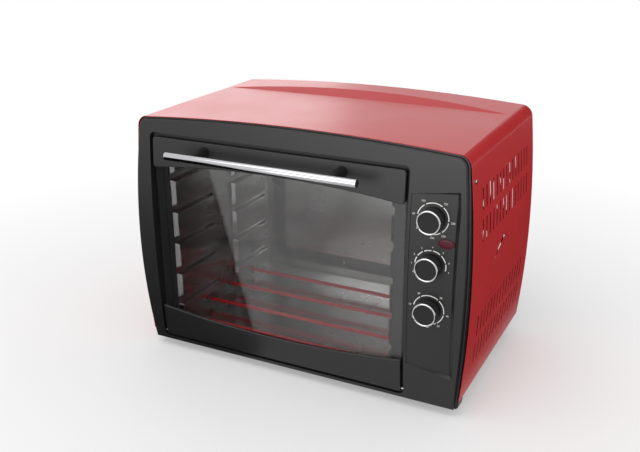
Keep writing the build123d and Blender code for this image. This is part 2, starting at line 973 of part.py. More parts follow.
def pin_circle(column, radius):
    """Circle about the hinge axis in an upright side plane."""
    with BuildSketch(Plane.YZ.offset(column)) as sketch:
        with Locations((depth(hinge_setback), level(hinge_height))):
            Circle(radius)
    return sketch.sketch


with BuildPart() as door_bottom_trim:
    add(door_plate(-face_bow - 5))
    extrude(amount=face_bow + 5 + lip_back, dir=BACKWARD)
    add(bowed_slab(0), mode=Mode.INTERSECT)
    bottom_ends = bottom_band_centre + bottom_band_arch
    add(arched_band(-face_bow - 6, 5, bottom_band_centre, bottom_ends, door_high + 5))
    extrude(amount=face_bow + 10 + lip_back, dir=BACKWARD, mode=Mode.SUBTRACT)
    chamfer(door_bottom_trim.faces().sort_by(Axis.Y)[0].edges().sort_by(Axis.Z)[-1], trim_bevel)
    with BuildSketch(at_depth(glass_setback)):
        with Locations((door_middle, level(glass_low - slip + door_high / 2))):
            Rectangle(door_right - door_left + 10, door_high)
    extrude(amount=glass_thickness + 2, dir=BACKWARD, mode=Mode.SUBTRACT)
    # hinge blocks in the lower corners, each with a blind bore for its pin
    for start in (door_left, door_right - block_width):
        add(hinge_block_shape(start))
        extrude(amount=block_width, dir=SIDEWAYS)
    for start in (door_left, door_right - pin_depth):
        add(pin_circle(start, pin_radius + pin_fit))
        extrude(amount=pin_depth, dir=SIDEWAYS, mode=Mode.SUBTRACT)
save(door_bottom_trim.part, "door_bottom_trim")


# Door rail: steel strip behind the glass that carries the stay arms
with BuildPart() as door_rail:
    with BuildSketch(at_depth(glass_back)):
        with Locations((door_middle, level((glass_low + rail_high) / 2))):
            Rectangle(door_right - door_left - 2 * rail_side_gap, rail_high - glass_low)
    extrude(amount=rail_thickness, dir=BACKWARD)
    add(corner_blocks(glass_back - 1, slip))
    extrude(amount=rail_thickness + 2, dir=BACKWARD, mode=Mode.SUBTRACT)
save(door_rail.part, "door_rail")


# Hinge: pins fixed in the door's blocks turn in brackets on the front plate
with BuildPart() as hinge_pins:
    add(pin_circle(bracket_left, pin_radius))
    extrude(amount=door_left + pin_depth - seat_gap - bracket_left, dir=SIDEWAYS)
    pin_start = door_right - pin_depth + seat_gap
    add(pin_circle(pin_start, pin_radius))
    extrude(amount=bracket_right + bracket_thickness - pin_start, dir=SIDEWAYS)
save(hinge_pins.part, "hinge_pins")


def hinge_bracket(column):
    """Upright lug in front of the front plate, bored for the hinge pin."""
    with BuildPart() as bracket:
        with BuildSketch(Plane.YZ.offset(column)):
            with Locations(
                (
                    depth((bracket_front + plate_setback) / 2),
                    level((bracket_low + bracket_high) / 2),
                )
            ):
                Rectangle(plate_setback - bracket_front, bracket_high - bracket_low)
        extrude(amount=bracket_thickness)
        add(pin_circle(column - 1, pin_radius + pin_fit))
        extrude(amount=bracket_thickness + 2, dir=SIDEWAYS, mode=Mode.SUBTRACT)
    return bracket.part


with BuildPart() as hinge_bracket_left:
    add(hinge_bracket(bracket_left))
save(hinge_bracket_left.part, "hinge_bracket_left")

with BuildPart() as hinge_bracket_right:
    add(hinge_bracket(bracket_right))
save(hinge_bracket_right.part, "hinge_bracket_right")


# Stay arms: arcs about the hinge axis that run through slots and guide the door
def stay_arm(column):
    """Arc-shaped strip from the door rail back through the front plate."""
    with BuildPart() as arm:
        add(pin_circle(column - arm_thickness / 2, arm_outer_radius))
        extrude(amount=arm_thickness, dir=SIDEWAYS)
        add(pin_circle(column - arm_thickness, arm_inner_radius))
        extrude(amount=2 * arm_thickness, dir=SIDEWAYS, mode=Mode.SUBTRACT)
        # keep the quarter that starts on the rail and ends a little below the axis
        with BuildSketch(Plane.YZ.offset(column - arm_thickness)):
            with BuildLine():
                start = depth(glass_back + rail_thickness)
                reach = 2 * arm_outer_radius
                tail = radians(arm_tail_angle)
                Polyline(
                    (start, level(hinge_height) + reach),
                    (start + reach, level(hinge_height) + reach),
                    (depth(hinge_setback) + reach * cos(tail), level(hinge_height) + reach * sin(tail)),
                    (depth(hinge_setback), level(hinge_height)),
                    (start, level(hinge_height)),
                    close=True,
                )
            make_face()
        extrude(amount=2 * arm_thickness, mode=Mode.INTERSECT)
    return arm.part


with BuildPart() as stay_arm_left:
    add(stay_arm(arm_columns[0]))
save(stay_arm_left.part, "stay_arm_left")

with BuildPart() as stay_arm_right:
    add(stay_arm(arm_columns[1]))
save(stay_arm_right.part, "stay_arm_right")


# Handle: chromed tube with plugged ends, on two tapered posts screwed through the door
handle_left = handle_centre - handle_length / 2
with BuildPart() as handle_bar:
    with BuildSketch(Plane.YZ.offset(handle_left)):
        with Locations((depth(-handle_reach), level(handle_height))):
            Circle(handle_radius)
            Circle(handle_radius - handle_wall, mode=Mode.SUBTRACT)
    extrude(amount=handle_length)
    chamfer(handle_bar.edges().filter_by(GeomType.CIRCLE).group_by(SortBy.RADIUS)[-1], tube_lip)
save(handle_bar.part, "handle_bar")

with BuildPart() as handle_end_caps:
    for start, way in ((handle_left, 1), (handle_left + handle_length, -1)):
        with BuildSketch(Plane.YZ.offset(start + way * plug_recess)):
            with Locations((depth(-handle_reach), level(handle_height))):
                Circle(handle_radius - handle_wall - pin_fit)
        extrude(amount=way * plug_length)
save(handle_end_caps.part, "handle_end_caps")


def handle_post(column):
    """Tapered post from the door's bowed band to a saddle round the handle tube."""
    base = bow_at(handle_height + post_base_radius) + 1
    with BuildPart() as post:
        with BuildSketch(at_depth(base)):
            with Locations((column, level(handle_height))):
                Circle(post_base_radius)
        with BuildSketch(at_depth(-handle_reach)):
            with Locations((column, level(handle_height))):
                Circle(post_tip_radius)
        loft(ruled=True)
        add(bowed_slab(0), mode=Mode.SUBTRACT)
        with BuildSketch(Plane.YZ.offset(column - 2 * post_base_radius)):
            with Locations((depth(-handle_reach), level(handle_height))):
                Circle(handle_radius)
        extrude(amount=4 * post_base_radius, mode=Mode.SUBTRACT)
        with BuildSketch(at_depth(-screw_grip)):
            with Locations((column, level(handle_height))):
                Circle(screw_shank + pin_fit)
        extrude(amount=screw_grip, dir=BACKWARD, mode=Mode.SUBTRACT)
    return post.part


with BuildPart() as handle_post_left:
    add(handle_post(post_columns[0]))
save(handle_post_left.part, "handle_post_left")

with BuildPart() as handle_post_right:
    add(handle_post(post_columns[1]))
save(handle_post_right.part, "handle_post_right")

with BuildPart() as handle_screws:
    add(post_circles(glass_back, screw_radius))
    extrude(amount=screw_head, dir=BACKWARD)
    add(post_circles(-screw_grip + seat_gap, screw_shank))
    extrude(amount=screw_grip - seat_gap + glass_back, dir=BACKWARD)
save(handle_screws.part, "handle_screws")


# Cavity walls: sheet steel with pressed shelf pads, holes for rods and the spit
cavity_middle = (cavity_left + cavity_right) / 2
pan_top = cover_lift + sheet + pan_thickness
rod_setbacks = [rod_first_setback + rod_pitch * index for index in range(rod_count)]
low_rod_height = cavity_floor + rod_floor_gap
high_rod_height = cavity_roof - rod_floor_gap
pad_rows = [(top_shelf + shelf_gap / 2, end_pad_height)]
for row in range(1, shelf_count):
    pad_rows.append((top_shelf - pad_pitch * row + shelf_gap / 2, pad_pitch - shelf_gap))
pad_rows.append((lowest_shelf - shelf_gap / 2 - end_pad_height, end_pad_height))


def shelf_pads(skin):
    """Raised pads of the left wall, with their surface moved back by the sheet's skin."""
    shrink = 0.6 * skin
    with BuildPart() as pads:
        for low, tall in pad_rows:
            for front in pad_front_setbacks:
                middle = front + pad_length / 2
                with BuildSketch(Plane.YZ.offset(cavity_left - skin)):
                    with Locations((depth(middle), level(low + tall / 2))):
                        Rectangle(pad_length - 2 * shrink, tall - 2 * shrink)
                with BuildSketch(Plane.YZ.offset(cavity_left + pad_press - skin)):
                    shift = (pad_bevel_end - pad_bevel_side) / 2
                    with Locations((depth(middle + shift), level(low + tall / 2))):
                        Rectangle(
                            pad_length - pad_bevel_end - pad_bevel_side - 2 * shrink,
                            tall - 2 * pad_bevel_side - 2 * shrink,
                        )
                loft(ruled=True)
    return pads.part


def cavity_wall():
    """Left wall of the cavity; the right wall is its mirror image."""
    with BuildPart() as wall:
        with BuildSketch(Plane.YZ.offset(cavity_left - sheet)):
            with Locations(
                (
                    depth((plate_setback + sheet + cavity_back) / 2),
                    level((cavity_floor - sheet + cavity_roof) / 2),
                )
            ):
                Rectangle(cavity_back - plate_setback - sheet, cavity_roof - cavity_floor + sheet)
        extrude(amount=sheet)
        add(shelf_pads(0))
        add(shelf_pads(sheet), mode=Mode.SUBTRACT)
        with BuildSketch(at_depth(plate_setback + sheet)):
            with Locations(
                (
                    cavity_left - (sheet + wall_flange) / 2,
                    level((cavity_floor - sheet + cavity_roof) / 2),
                )
            ):
                Rectangle(wall_flange - sheet, cavity_roof - cavity_floor + sheet)
        extrude(amount=sheet, dir=BACKWARD)
        with BuildSketch(Plane.YZ.offset(cavity_left - 2 * sheet)):
            for setback in rod_setbacks:
                for height in (low_rod_height, high_rod_height):
                    with Locations((depth(setback), level(height))):
                        Circle(bush_radius)
            with Locations((depth(spit_setback), level(spit_height))):
                Circle(spit_hole_radius)
        extrude(amount=3 * sheet + pad_press, mode=Mode.SUBTRACT)
    return wall.part


left_wall = cavity_wall()
with BuildPart() as cavity_left_wall:
    add(left_wall)
save(cavity_left_wall.part, "cavity_left_wall")

with BuildPart() as cavity_right_wall:
    add(mirror(left_wall, about=Plane.YZ.offset(cavity_middle), mode=Mode.PRIVATE))
save(cavity_right_wall.part, "cavity_right_wall")


# Cavity roof, floor and back
def cavity_sheet(low, width):
    """Level sheet over the cavity's whole depth, with its underside at low."""
    with BuildPart() as panel:
        with BuildSketch(Plane.XY.offset(level(low))):
            with Locations((cavity_middle, depth((plate_setback + sheet + cavity_back) / 2))):
                Rectangle(width, cavity_back - plate_setback - sheet)
        extrude(amount=sheet)
    return panel.part


def front_flange(low, high, width):
    """Upright strip against the rear of the front plate."""
    with BuildPart() as strip:
        with BuildSketch(at_depth(plate_setback + sheet)):
            with Locations((cavity_middle, level((low + high) / 2))):
                Rectangle(width, high - low)
        extrude(amount=sheet, dir=BACKWARD)
    return strip.part


cavity_width = cavity_right - cavity_left
with BuildPart() as cavity_top:
    add(cavity_sheet(cavity_roof, cavity_width + 2 * sheet))
    add(front_flange(cavity_roof, cavity_roof + wall_flange, cavity_width + 2 * sheet))
save(cavity_top.part, "cavity_top")

with BuildPart() as cavity_bottom:
    add(cavity_sheet(cavity_floor - sheet, cavity_width))
    add(front_flange(cavity_floor - wall_flange, cavity_floor, cavity_width))
    for side in (-1, 1):
        with BuildSketch(Plane.XY.offset(level(pan_top))):
            with Locations(
                (
                    cavity_middle + side * (cavity_width - sheet) / 2,
                    depth((base_front_setback + cavity_back) / 2),
                )
            ):
                Rectangle(sheet, cavity_back - base_front_setback - 2)
        extrude(amount=cavity_floor - sheet - pan_top)
save(cavity_bottom.part, "cavity_floor")


def back_panel_press(skin):
    """Broad raised panel of the back wall, with long sloping sides."""
    shrink = 0.3 * skin
    with BuildPart() as press:
        add(
            front_frame_shape(
                cavity_back + skin,
                cavity_left + back_margin + shrink,
                cavity_right - back_margin - shrink,
                back_low + shrink,
                back_high - shrink,
                back_outer_radius,
            )
        )
        add(
            front_frame_shape(
                cavity_back - back_press + skin,
                cavity_left + back_margin + back_slope + shrink,
                cavity_right - back_margin - back_slope - shrink,
                back_low + back_slope + shrink,
                back_high - back_slope - shrink,
                back_inner_radius,
            )
        )
        loft()
    return press.part


with BuildPart() as cavity_rear:
    with BuildSketch(at_depth(cavity_back)):
        with Locations((cavity_middle, level((pan_top + cavity_roof + sheet) / 2))):
            Rectangle(cavity_width + 2 * sheet, cavity_roof + sheet - pan_top)
    extrude(amount=sheet, dir=BACKWARD)
    add(back_panel_press(0))
    add(back_panel_press(sheet), mode=Mode.SUBTRACT)
save(cavity_rear.part, "cavity_back")


# Heating rods and the ceramic bushes that carry them in the walls
def heating_rod(setback, height):
    """One straight rod that runs across the cavity and out through both walls."""
    with BuildPart() as rod:
        with BuildSketch(Plane.YZ.offset(cavity_left - rod_overhang)):
            with Locations((depth(setback), level(height))):
                Circle(rod_radius)
        extrude(amount=cavity_width + 2 * rod_overhang)
    return rod.part


for index, setback in enumerate(rod_setbacks):
    for place, height in (("lower", low_rod_height), ("upper", high_rod_height)):
        save(heating_rod(setback, height), f"{place}_heater_{index + 1}")


def heater_bushes(start):
    """Row of ceramic bushes in one wall."""
    with BuildPart() as bushes:
        with BuildSketch(Plane.YZ.offset(start)):
            for setback in rod_setbacks:
                for height in (low_rod_height, high_rod_height):
                    with Locations((depth(setback), level(height))):
                        Circle(bush_radius - rod_fit)
                        Circle(rod_radius + rod_fit, mode=Mode.SUBTRACT)
        extrude(amount=bush_length)
    return bushes.part


with BuildPart() as heater_bushes_left:
    add(heater_bushes(cavity_left + bush_inside - bush_length))
save(heater_bushes_left.part, "heater_bushes_left")

with BuildPart() as heater_bushes_right:
    add(heater_bushes(cavity_right - bush_inside))
save(heater_bushes_right.part, "heater_bushes_right")


# Heat shield between the cavity and the controls, folded foot on the base pan
with BuildPart() as heat_shield:
    with BuildSketch(Plane.YZ.offset(shield_column)):
        with Locations(
            (depth((base_front_setback + cavity_back) / 2), level((pan_top + cavity_roof) / 2))
        ):
            Rectangle(cavity_back - base_front_setback - 2 * shield_end_gap, cavity_roof - pan_top)
    extrude(amount=sheet)
    with BuildSketch(Plane.XY.offset(level(pan_top))):
        with Locations(
            (
                shield_column + wall_flange / 2,
                depth((base_front_setback + cavity_back) / 2),
            )
        ):
            Rectangle(wall_flange, cavity_back - base_front_setback - 2 * shield_end_gap)
    extrude(amount=sheet)
save(heat_shield.part, "heat_shield")


# Control bodies: each stands on the rear of the front plate, its threaded neck reaches through
def disc(setback, height, radius, length):
    """Round solid on a knob's axis."""
    with BuildPart() as round_solid:
        with BuildSketch(at_depth(setback)):
            with Locations((knob_column, level(height))):
                Circle(radius)
        extrude(amount=length, dir=BACKWARD)
    return round_solid.part


def control_neck(height):
    """Threaded neck of a control, from behind the control plate to the front plate."""
    return disc(neck_front, height, bushing_radius, plate_setback + sheet - neck_front)


def control_bore(height):
    """Bore that the control's shaft runs in."""
    return disc(neck_front - 1, height, shaft_radius + shaft_fit, shaft_back - neck_front + 1 + seat_gap)


control_seat = plate_setback + sheet
with BuildPart() as thermostat:
    add(disc(control_seat, knob_heights[0], thermostat_radius, thermostat_depth))
    with BuildSketch(at_depth(control_seat + thermostat_depth)):
        for side in (-1, 1):
            with Locations((knob_column + side * terminal_spacing, level(knob_heights[0]))):
                Rectangle(terminal_thickness, terminal_width)
    extrude(amount=terminal_length, dir=BACKWARD)
    add(control_neck(knob_heights[0]))
    add(control_bore(knob_heights[0]), mode=Mode.SUBTRACT)
save(thermostat.part, "thermostat")

with BuildPart() as function_switch:
    with BuildSketch(at_depth(control_seat)):
        with Locations((knob_column, level(knob_heights[1]))):
            RectangleRounded(switch_size, switch_size, switch_corner)
    extrude(amount=switch_depth, dir=BACKWARD)
    with BuildSketch(at_depth(control_seat + switch_depth)):
        with Locations((knob_column, level(knob_heights[1]))):
            with GridLocations(terminal_spacing, terminal_spacing, 3, 2):
                Rectangle(terminal_thickness, terminal_width)
    extrude(amount=terminal_length, dir=BACKWARD)
    add(control_neck(knob_heights[1]))
    add(control_bore(knob_heights[1]), mode=Mode.SUBTRACT)
save(function_switch.part, "function_switch")

with BuildPart() as timer:
    add(disc(control_seat, knob_heights[2], timer_radius, timer_depth))
    add(disc(control_seat + timer_depth, knob_heights[2], bell_post_radius, bell_gap + bell_depth))
    add(control_neck(knob_heights[2]))
    add(control_bore(knob_heights[2]), mode=Mode.SUBTRACT)
save(timer.part, "timer")


# Bell: steel dish on the timer's post, open towards the timer
def bell_cap(wall):
    """Solid of the bell's form, a cup with a sloping shoulder, its surface moved in by wall."""
    front = depth(control_seat + timer_depth + bell_gap)
    centre = level(knob_heights[2])
    tip = front + bell_depth - wall
    with BuildPart() as cap:
        with BuildSketch(Plane.YZ.offset(knob_column)):
            with BuildLine():
                Polyline(
                    (front, centre),
                    (front, centre + bell_radius - wall),
                    (tip - bell_shoulder, centre + bell_radius - wall),
                    (tip, centre + bell_radius - 2 * bell_shoulder),
                    (tip, centre),
                    close=True,
                )
            make_face()
        revolve(axis=Axis((knob_column, 0, centre), BACKWARD))
    return cap.part


with BuildPart() as timer_bell:
    add(bell_cap(0))
    add(bell_cap(bell_wall), mode=Mode.SUBTRACT)
    post_hole = disc(control_seat + timer_depth, knob_heights[2], bell_post_radius + pin_fit, 2 * bell_depth)
    add(post_hole, mode=Mode.SUBTRACT)
save(timer_bell.part, "timer_bell")

# Nuts that clamp the necks to the front plate
with BuildPart() as control_nuts:
    with BuildSketch(at_depth(plate_setback - nut_thickness)):
        for height in knob_heights:
            with Locations((knob_column, level(height))):
                RegularPolygon(nut_radius, 6)
                Circle(bushing_radius + pin_fit, mode=Mode.SUBTRACT)
    extrude(amount=nut_thickness, dir=BACKWARD)
save(control_nuts.part, "control_nuts")


# Knobs: hollow black body on a flatted shaft, bright ring and dark disc at the front
def flatted_circle(setback, height, grow):
    """Section of a shaft with one flat, moved out by grow."""
    radius = shaft_radius + grow
    flat = shaft_radius - shaft_flat + grow
    with BuildSketch(at_depth(setback)) as sketch:
        with Locations((knob_column, level(height))):
            Circle(radius)
        with Locations((knob_column, level(height) + flat + radius)):
            Rectangle(4 * radius, 2 * radius, mode=Mode.SUBTRACT)
    return sketch.sketch


def knob_body(height, back):
    """Hollow body with a bored hub; back is the setback of its rear rim."""
    front = back - knob_length + knob_ring_length
    with BuildPart() as body:
        add(disc(front, height, knob_radius, back - front))
        chamfer(body.edges().sort_by(Axis.Y)[-1], knob_lip)
        add(disc(front + knob_wall, height, knob_radius - knob_wall, knob_length), mode=Mode.SUBTRACT)
        add(disc(front, height, hub_radius, back - front))
        add(flatted_circle(front + knob_wall, height, shaft_fit))
        extrude(amount=knob_length, dir=BACKWARD, mode=Mode.SUBTRACT)
    return body.part


def knob_ring(height, back):
    """Bright ring round the front of a knob."""
    front = back - knob_length
    with BuildPart() as ring:
        add(disc(front, height, knob_ring_radius, knob_ring_length))
        add(disc(front - 1, height, knob_ring_bore, knob_ring_length + 2), mode=Mode.SUBTRACT)
        chamfer(ring.faces().sort_by(Axis.Y)[0].edges(), ring_chamfer)
    return ring.part


def knob_disc(height, back):
    """Dark disc inside the ring."""
    front = back - knob_length + knob_disc_recess
    return disc(front, height, knob_ring_bore - pin_fit, knob_ring_length - knob_disc_recess)


def knob_shaft(height, back):
    """Shaft from inside the control to inside the knob's hub, with a flat in the hub."""
    front = back - knob_length + knob_ring_length + knob_wall + seat_gap
    with BuildPart() as shaft:
        add(flatted_circle(front, height, 0))
        extrude(amount=back - front, dir=BACKWARD)
        add(disc(back, height, shaft_radius, shaft_back - back))
    return shaft.part


for knob_name, height in zip(knob_names, knob_heights):
    rear_rim = panel_at(knob_column, height) - knob_gap
    save(knob_body(height, rear_rim), f"{knob_name}_knob")
    save(knob_ring(height, rear_rim), f"{knob_name}_knob_ring")
    save(knob_disc(height, rear_rim), f"{knob_name}_knob_disc")
    save(knob_shaft(height, rear_rim), f"{knob_name}_shaft")


# Base pan: rests on the cover's flanges, with a lip down at the front and up at the rear
pan_underside = cover_lift + sheet
pan_half_width = half_width_at(cover_lift) + cover_side_step - sheet - 2 * seat_gap
rear_plate_setback = cover_back_setback - sheet
with BuildPart() as base_pan:
    pan_end = rear_plate_setback - seat_gap
    with BuildSketch(Plane.XY.offset(level(pan_underside))):
        with Locations((0, depth((base_front_setback + pan_end) / 2))):
            Rectangle(2 * pan_half_width, pan_end - base_front_setback)
        for column in (-pan_vent_column, pan_vent_column / 2):
            with Locations((column, depth((base_front_setback + pan_end) / 2))):
                with GridLocations(pan_vent_pitch, 0, pan_vent_count, 1):
                    Rectangle(pan_vent_width, pan_vent_length, mode=Mode.SUBTRACT)
    extrude(amount=pan_thickness)
    with BuildSketch(at_depth(base_front_setback)):
        with Locations((0, level(pan_underside - base_lip / 4))):
            Rectangle(2 * (face_half_width - side_bow - 2 * frame_inset), base_lip / 2)
    extrude(amount=pan_thickness, dir=BACKWARD)
    with BuildSketch(at_depth(pan_end - pan_thickness)):
        with Locations((0, level(pan_top + base_lip / 2))):
            Rectangle(2 * (pan_half_width - rear_flange), base_lip)
        for column in rear_screw_columns:
            with Locations((column, level(pan_top + base_lip / 2))):
                Circle(screw_shank + slip, mode=Mode.SUBTRACT)
    extrude(amount=pan_thickness, dir=BACKWARD)
save(base_pan.part, "base_pan")

# Feet: four tapered rubber feet with a fixing recess below
foot_height = level(pan_underside)
with BuildPart() as feet:
    for setback in foot_setbacks:
        with Locations((-foot_column, depth(setback), 0), (foot_column, depth(setback), 0)):
            Cone(foot_toe_radius, foot_radius, foot_height, align=(Align.CENTER, Align.CENTER, Align.MIN))
    chamfer(feet.edges().filter_by(GeomType.CIRCLE).group_by(Axis.Z)[0], foot_chamfer)
    for setback in foot_setbacks:
        with Locations((-foot_column, depth(setback), 0), (foot_column, depth(setback), 0)):
            Cylinder(
                foot_recess_radius,
                foot_recess_depth,
                align=(Align.CENTER, Align.CENTER, Align.MIN),
                mode=Mode.SUBTRACT,
            )
save(feet.part, "feet")


# Rear panel: stands inside the cover's rear edge, flanged forward, with vents and the gland
def rear_outline(setback, inset, low):
    """Outline of the rear panel, moved in by inset."""
    step = sheet + seat_gap + inset
    return outline(setback, cover_side_step - step, cover_top_step - step, low, cover_corner_radius - step)


with BuildPart() as rear_panel:
    add(rear_outline(rear_plate_setback - rear_flange, 0, pan_top + seat_gap))
    extrude(amount=rear_flange, dir=BACKWARD)
    add(rear_outline(rear_plate_setback - rear_flange - 1, sheet, pan_top - 10))
    extrude(amount=rear_flange + 1, dir=BACKWARD, mode=Mode.SUBTRACT)
    add(rear_outline(rear_plate_setback, 0, pan_underside))
    extrude(amount=sheet, dir=BACKWARD)
    with BuildSketch(at_depth(rear_plate_setback - 1)):
        for height in rear_vent_heights:
            with Locations((rear_vent_column, level(height))):
                with GridLocations(rear_vent_pitch, 0, rear_vent_count, 1):
                    Rectangle(rear_vent_width, rear_vent_length)
        with Locations((gland_column, level(gland_height))):
            Circle(gland_neck_radius + slip)
        for column in rear_screw_columns:
            with Locations((column, level(pan_top + base_lip / 2))):
                Circle(screw_shank + slip)
    extrude(amount=sheet + 2, dir=BACKWARD, mode=Mode.SUBTRACT)
save(rear_panel.part, "rear_panel")

# Cord gland: flanged bush in the rear panel, bored for the supply cord
with BuildPart() as cord_gland:
    for start, radius, length in (
        (rear_plate_setback - gland_inside, gland_neck_radius, gland_inside + sheet),
        (rear_plate_setback + sheet, gland_radius, gland_flange),
        (rear_plate_setback + sheet + gland_flange, gland_neck_radius, gland_reach - gland_flange),
    ):
        with BuildSketch(at_depth(start)):
            with Locations((gland_column, level(gland_height))):
                Circle(radius)
        extrude(amount=length, dir=BACKWARD)
    with BuildSketch(at_depth(rear_plate_setback - gland_inside)):
        with Locations((gland_column, level(gland_height))):
            Circle(gland_bore)
    extrude(amount=gland_inside + sheet + gland_reach, dir=BACKWARD, mode=Mode.SUBTRACT)
save(cord_gland.part, "cord_gland")

# Terminal block on the base pan, in line with the gland
with BuildPart() as terminal_block:
    with BuildSketch(Plane.XY.offset(level(pan_top))):
        with Locations((gland_column, depth(terminal_setback))):
            Rectangle(block_length, block_depth)
    extrude(amount=block_height)
    chamfer(terminal_block.faces().sort_by(Axis.Z)[-1].edges().filter_by(Axis.X), block_chamfer)
    with BuildSketch(at_depth(terminal_setback - block_depth)):
        with Locations((gland_column, level(pan_top + block_height / 2))):
            with GridLocations(block_length / 3, 0, 3, 1):
                Circle(block_bore)
    extrude(amount=2 * block_depth, dir=BACKWARD, mode=Mode.SUBTRACT)
save(terminal_block.part, "terminal_block")


# Cover screws: one in each side beside the fascia, and a row along the rear panel's foot
side_surface = half_width_at(side_screw_height) + cover_side_step
with BuildPart() as cover_screws:
    for side in (-1, 1):
        with BuildSketch(Plane.YZ.offset(side * (side_surface + side_head_gap))):
            with Locations((depth(side_screw_setback), level(side_screw_height))):
                Circle(screw_radius)
        extrude(amount=side * screw_head)
        with BuildSketch(Plane.YZ.offset(side * (side_surface + side_head_gap))):
            with Locations((depth(side_screw_setback), level(side_screw_height))):
                Circle(screw_shank)
        extrude(amount=-side * screw_length)
    with BuildSketch(at_depth(cover_back_setback)):
        for column in rear_screw_columns:
            with Locations((column, level(pan_top + base_lip / 2))):
                Circle(screw_radius)
    extrude(amount=screw_head, dir=BACKWARD)
    with BuildSketch(at_depth(cover_back_setback - screw_length)):
        for column in rear_screw_columns:
            with Locations((column, level(pan_top + base_lip / 2))):
                Circle(screw_shank)
    extrude(amount=screw_length, dir=BACKWARD)
save(cover_screws.part, "cover_screws")
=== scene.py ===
"""Looks of the countertop oven: finishes, chromed trims, printed dials, liner, fixings and studio."""

from __future__ import annotations

import json
import logging
from contextlib import contextmanager
from dataclasses import dataclass
from enum import Enum
from math import atan2, cos, degrees, hypot, pi, radians, sin
from typing import Callable, Iterator

import bmesh
import bpy
from mathutils import Matrix, Vector


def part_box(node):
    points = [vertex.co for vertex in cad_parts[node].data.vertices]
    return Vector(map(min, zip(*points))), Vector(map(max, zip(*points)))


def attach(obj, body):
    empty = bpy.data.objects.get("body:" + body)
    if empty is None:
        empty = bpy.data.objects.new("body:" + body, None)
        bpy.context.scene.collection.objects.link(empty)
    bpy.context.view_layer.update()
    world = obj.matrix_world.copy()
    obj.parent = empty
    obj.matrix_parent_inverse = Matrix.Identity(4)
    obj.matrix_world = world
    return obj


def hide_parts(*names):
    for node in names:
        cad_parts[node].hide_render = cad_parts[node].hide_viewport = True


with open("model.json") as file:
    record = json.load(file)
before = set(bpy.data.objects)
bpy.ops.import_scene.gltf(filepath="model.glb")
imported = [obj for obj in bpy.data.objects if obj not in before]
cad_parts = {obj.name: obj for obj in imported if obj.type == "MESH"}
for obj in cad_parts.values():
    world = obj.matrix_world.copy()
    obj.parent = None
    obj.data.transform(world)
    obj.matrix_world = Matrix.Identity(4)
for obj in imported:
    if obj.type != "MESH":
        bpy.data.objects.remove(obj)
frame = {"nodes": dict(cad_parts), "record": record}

MM = 0.001
LOG = logging.getLogger("countertop_oven")

# Origin of the fascia's own sizes: its face plane and its lower edge
FACE_Y = -145.175 * MM
FACE_FOOT = 14.0 * MM

# Share of a normal along an axis from which a face counts as facing that way
FACING = 0.9
# Distances in metres within which a point lies on a plane, and two points are merged
TOUCH = 1e-5
MERGE = 1e-6

# Rotations that lay a bar along Y and along X
ALONG_Y = (pi / 2, 0.0, 0.0)
ALONG_X = (0.0, pi / 2, 0.0)

# Sockets of the Mix node: its share, its two values and two colours, then its two results
SHARE, VALUE_A, VALUE_B, COLOUR_A, COLOUR_B = 0, 2, 3, 6, 7
MIXED_VALUE, MIXED_COLOUR = 0, 2

# Range of the slow noise that spreads the gloss, and the smoothest finish
CLOUD_LOW, CLOUD_HIGH = 0.3, 0.7
SMOOTHEST = 0.01


def linear(colour: str) -> tuple[float, float, float, float]:
    """Turn an sRGB hex colour into linear light.

    Args:
        colour: Hex value such as "#c23538".

    Returns:
        Red, green, blue and an alpha of 1.
    """
    channels = [int(colour[start : start + 2], 16) / 255 for start in (1, 3, 5)]
    red, green, blue = [c / 12.92 if c <= 0.04045 else ((c + 0.055) / 1.055) ** 2.4 for c in channels]
    return red, green, blue, 1.0


def add_node(tree: bpy.types.NodeTree, kind: str, inputs: dict | None = None, **settings) -> bpy.types.Node:
    """Add a node with its settings, values and links.

    Args:
        tree: Node tree that takes the node.
        kind: Type name of the node.
        inputs: Socket name or index to a value, or to the socket that feeds it.
        **settings: Properties of the node itself.

    Returns:
        The new node.
    """
    node = tree.nodes.new(kind)
    for name, value in settings.items():
        setattr(node, name, value)
    for socket, value in (inputs or {}).items():
        if isinstance(value, bpy.types.NodeSocket):
            tree.links.new(value, node.inputs[socket])
        else:
            node.inputs[socket].default_value = value
    return node


class Grain(Enum):
    """Direction of the fine surface pattern, as the stretch of its coordinates."""

    EVEN = (1.0, 1.0, 1.0)
    ALONG_WIDTH = (0.02, 1.0, 1.0)


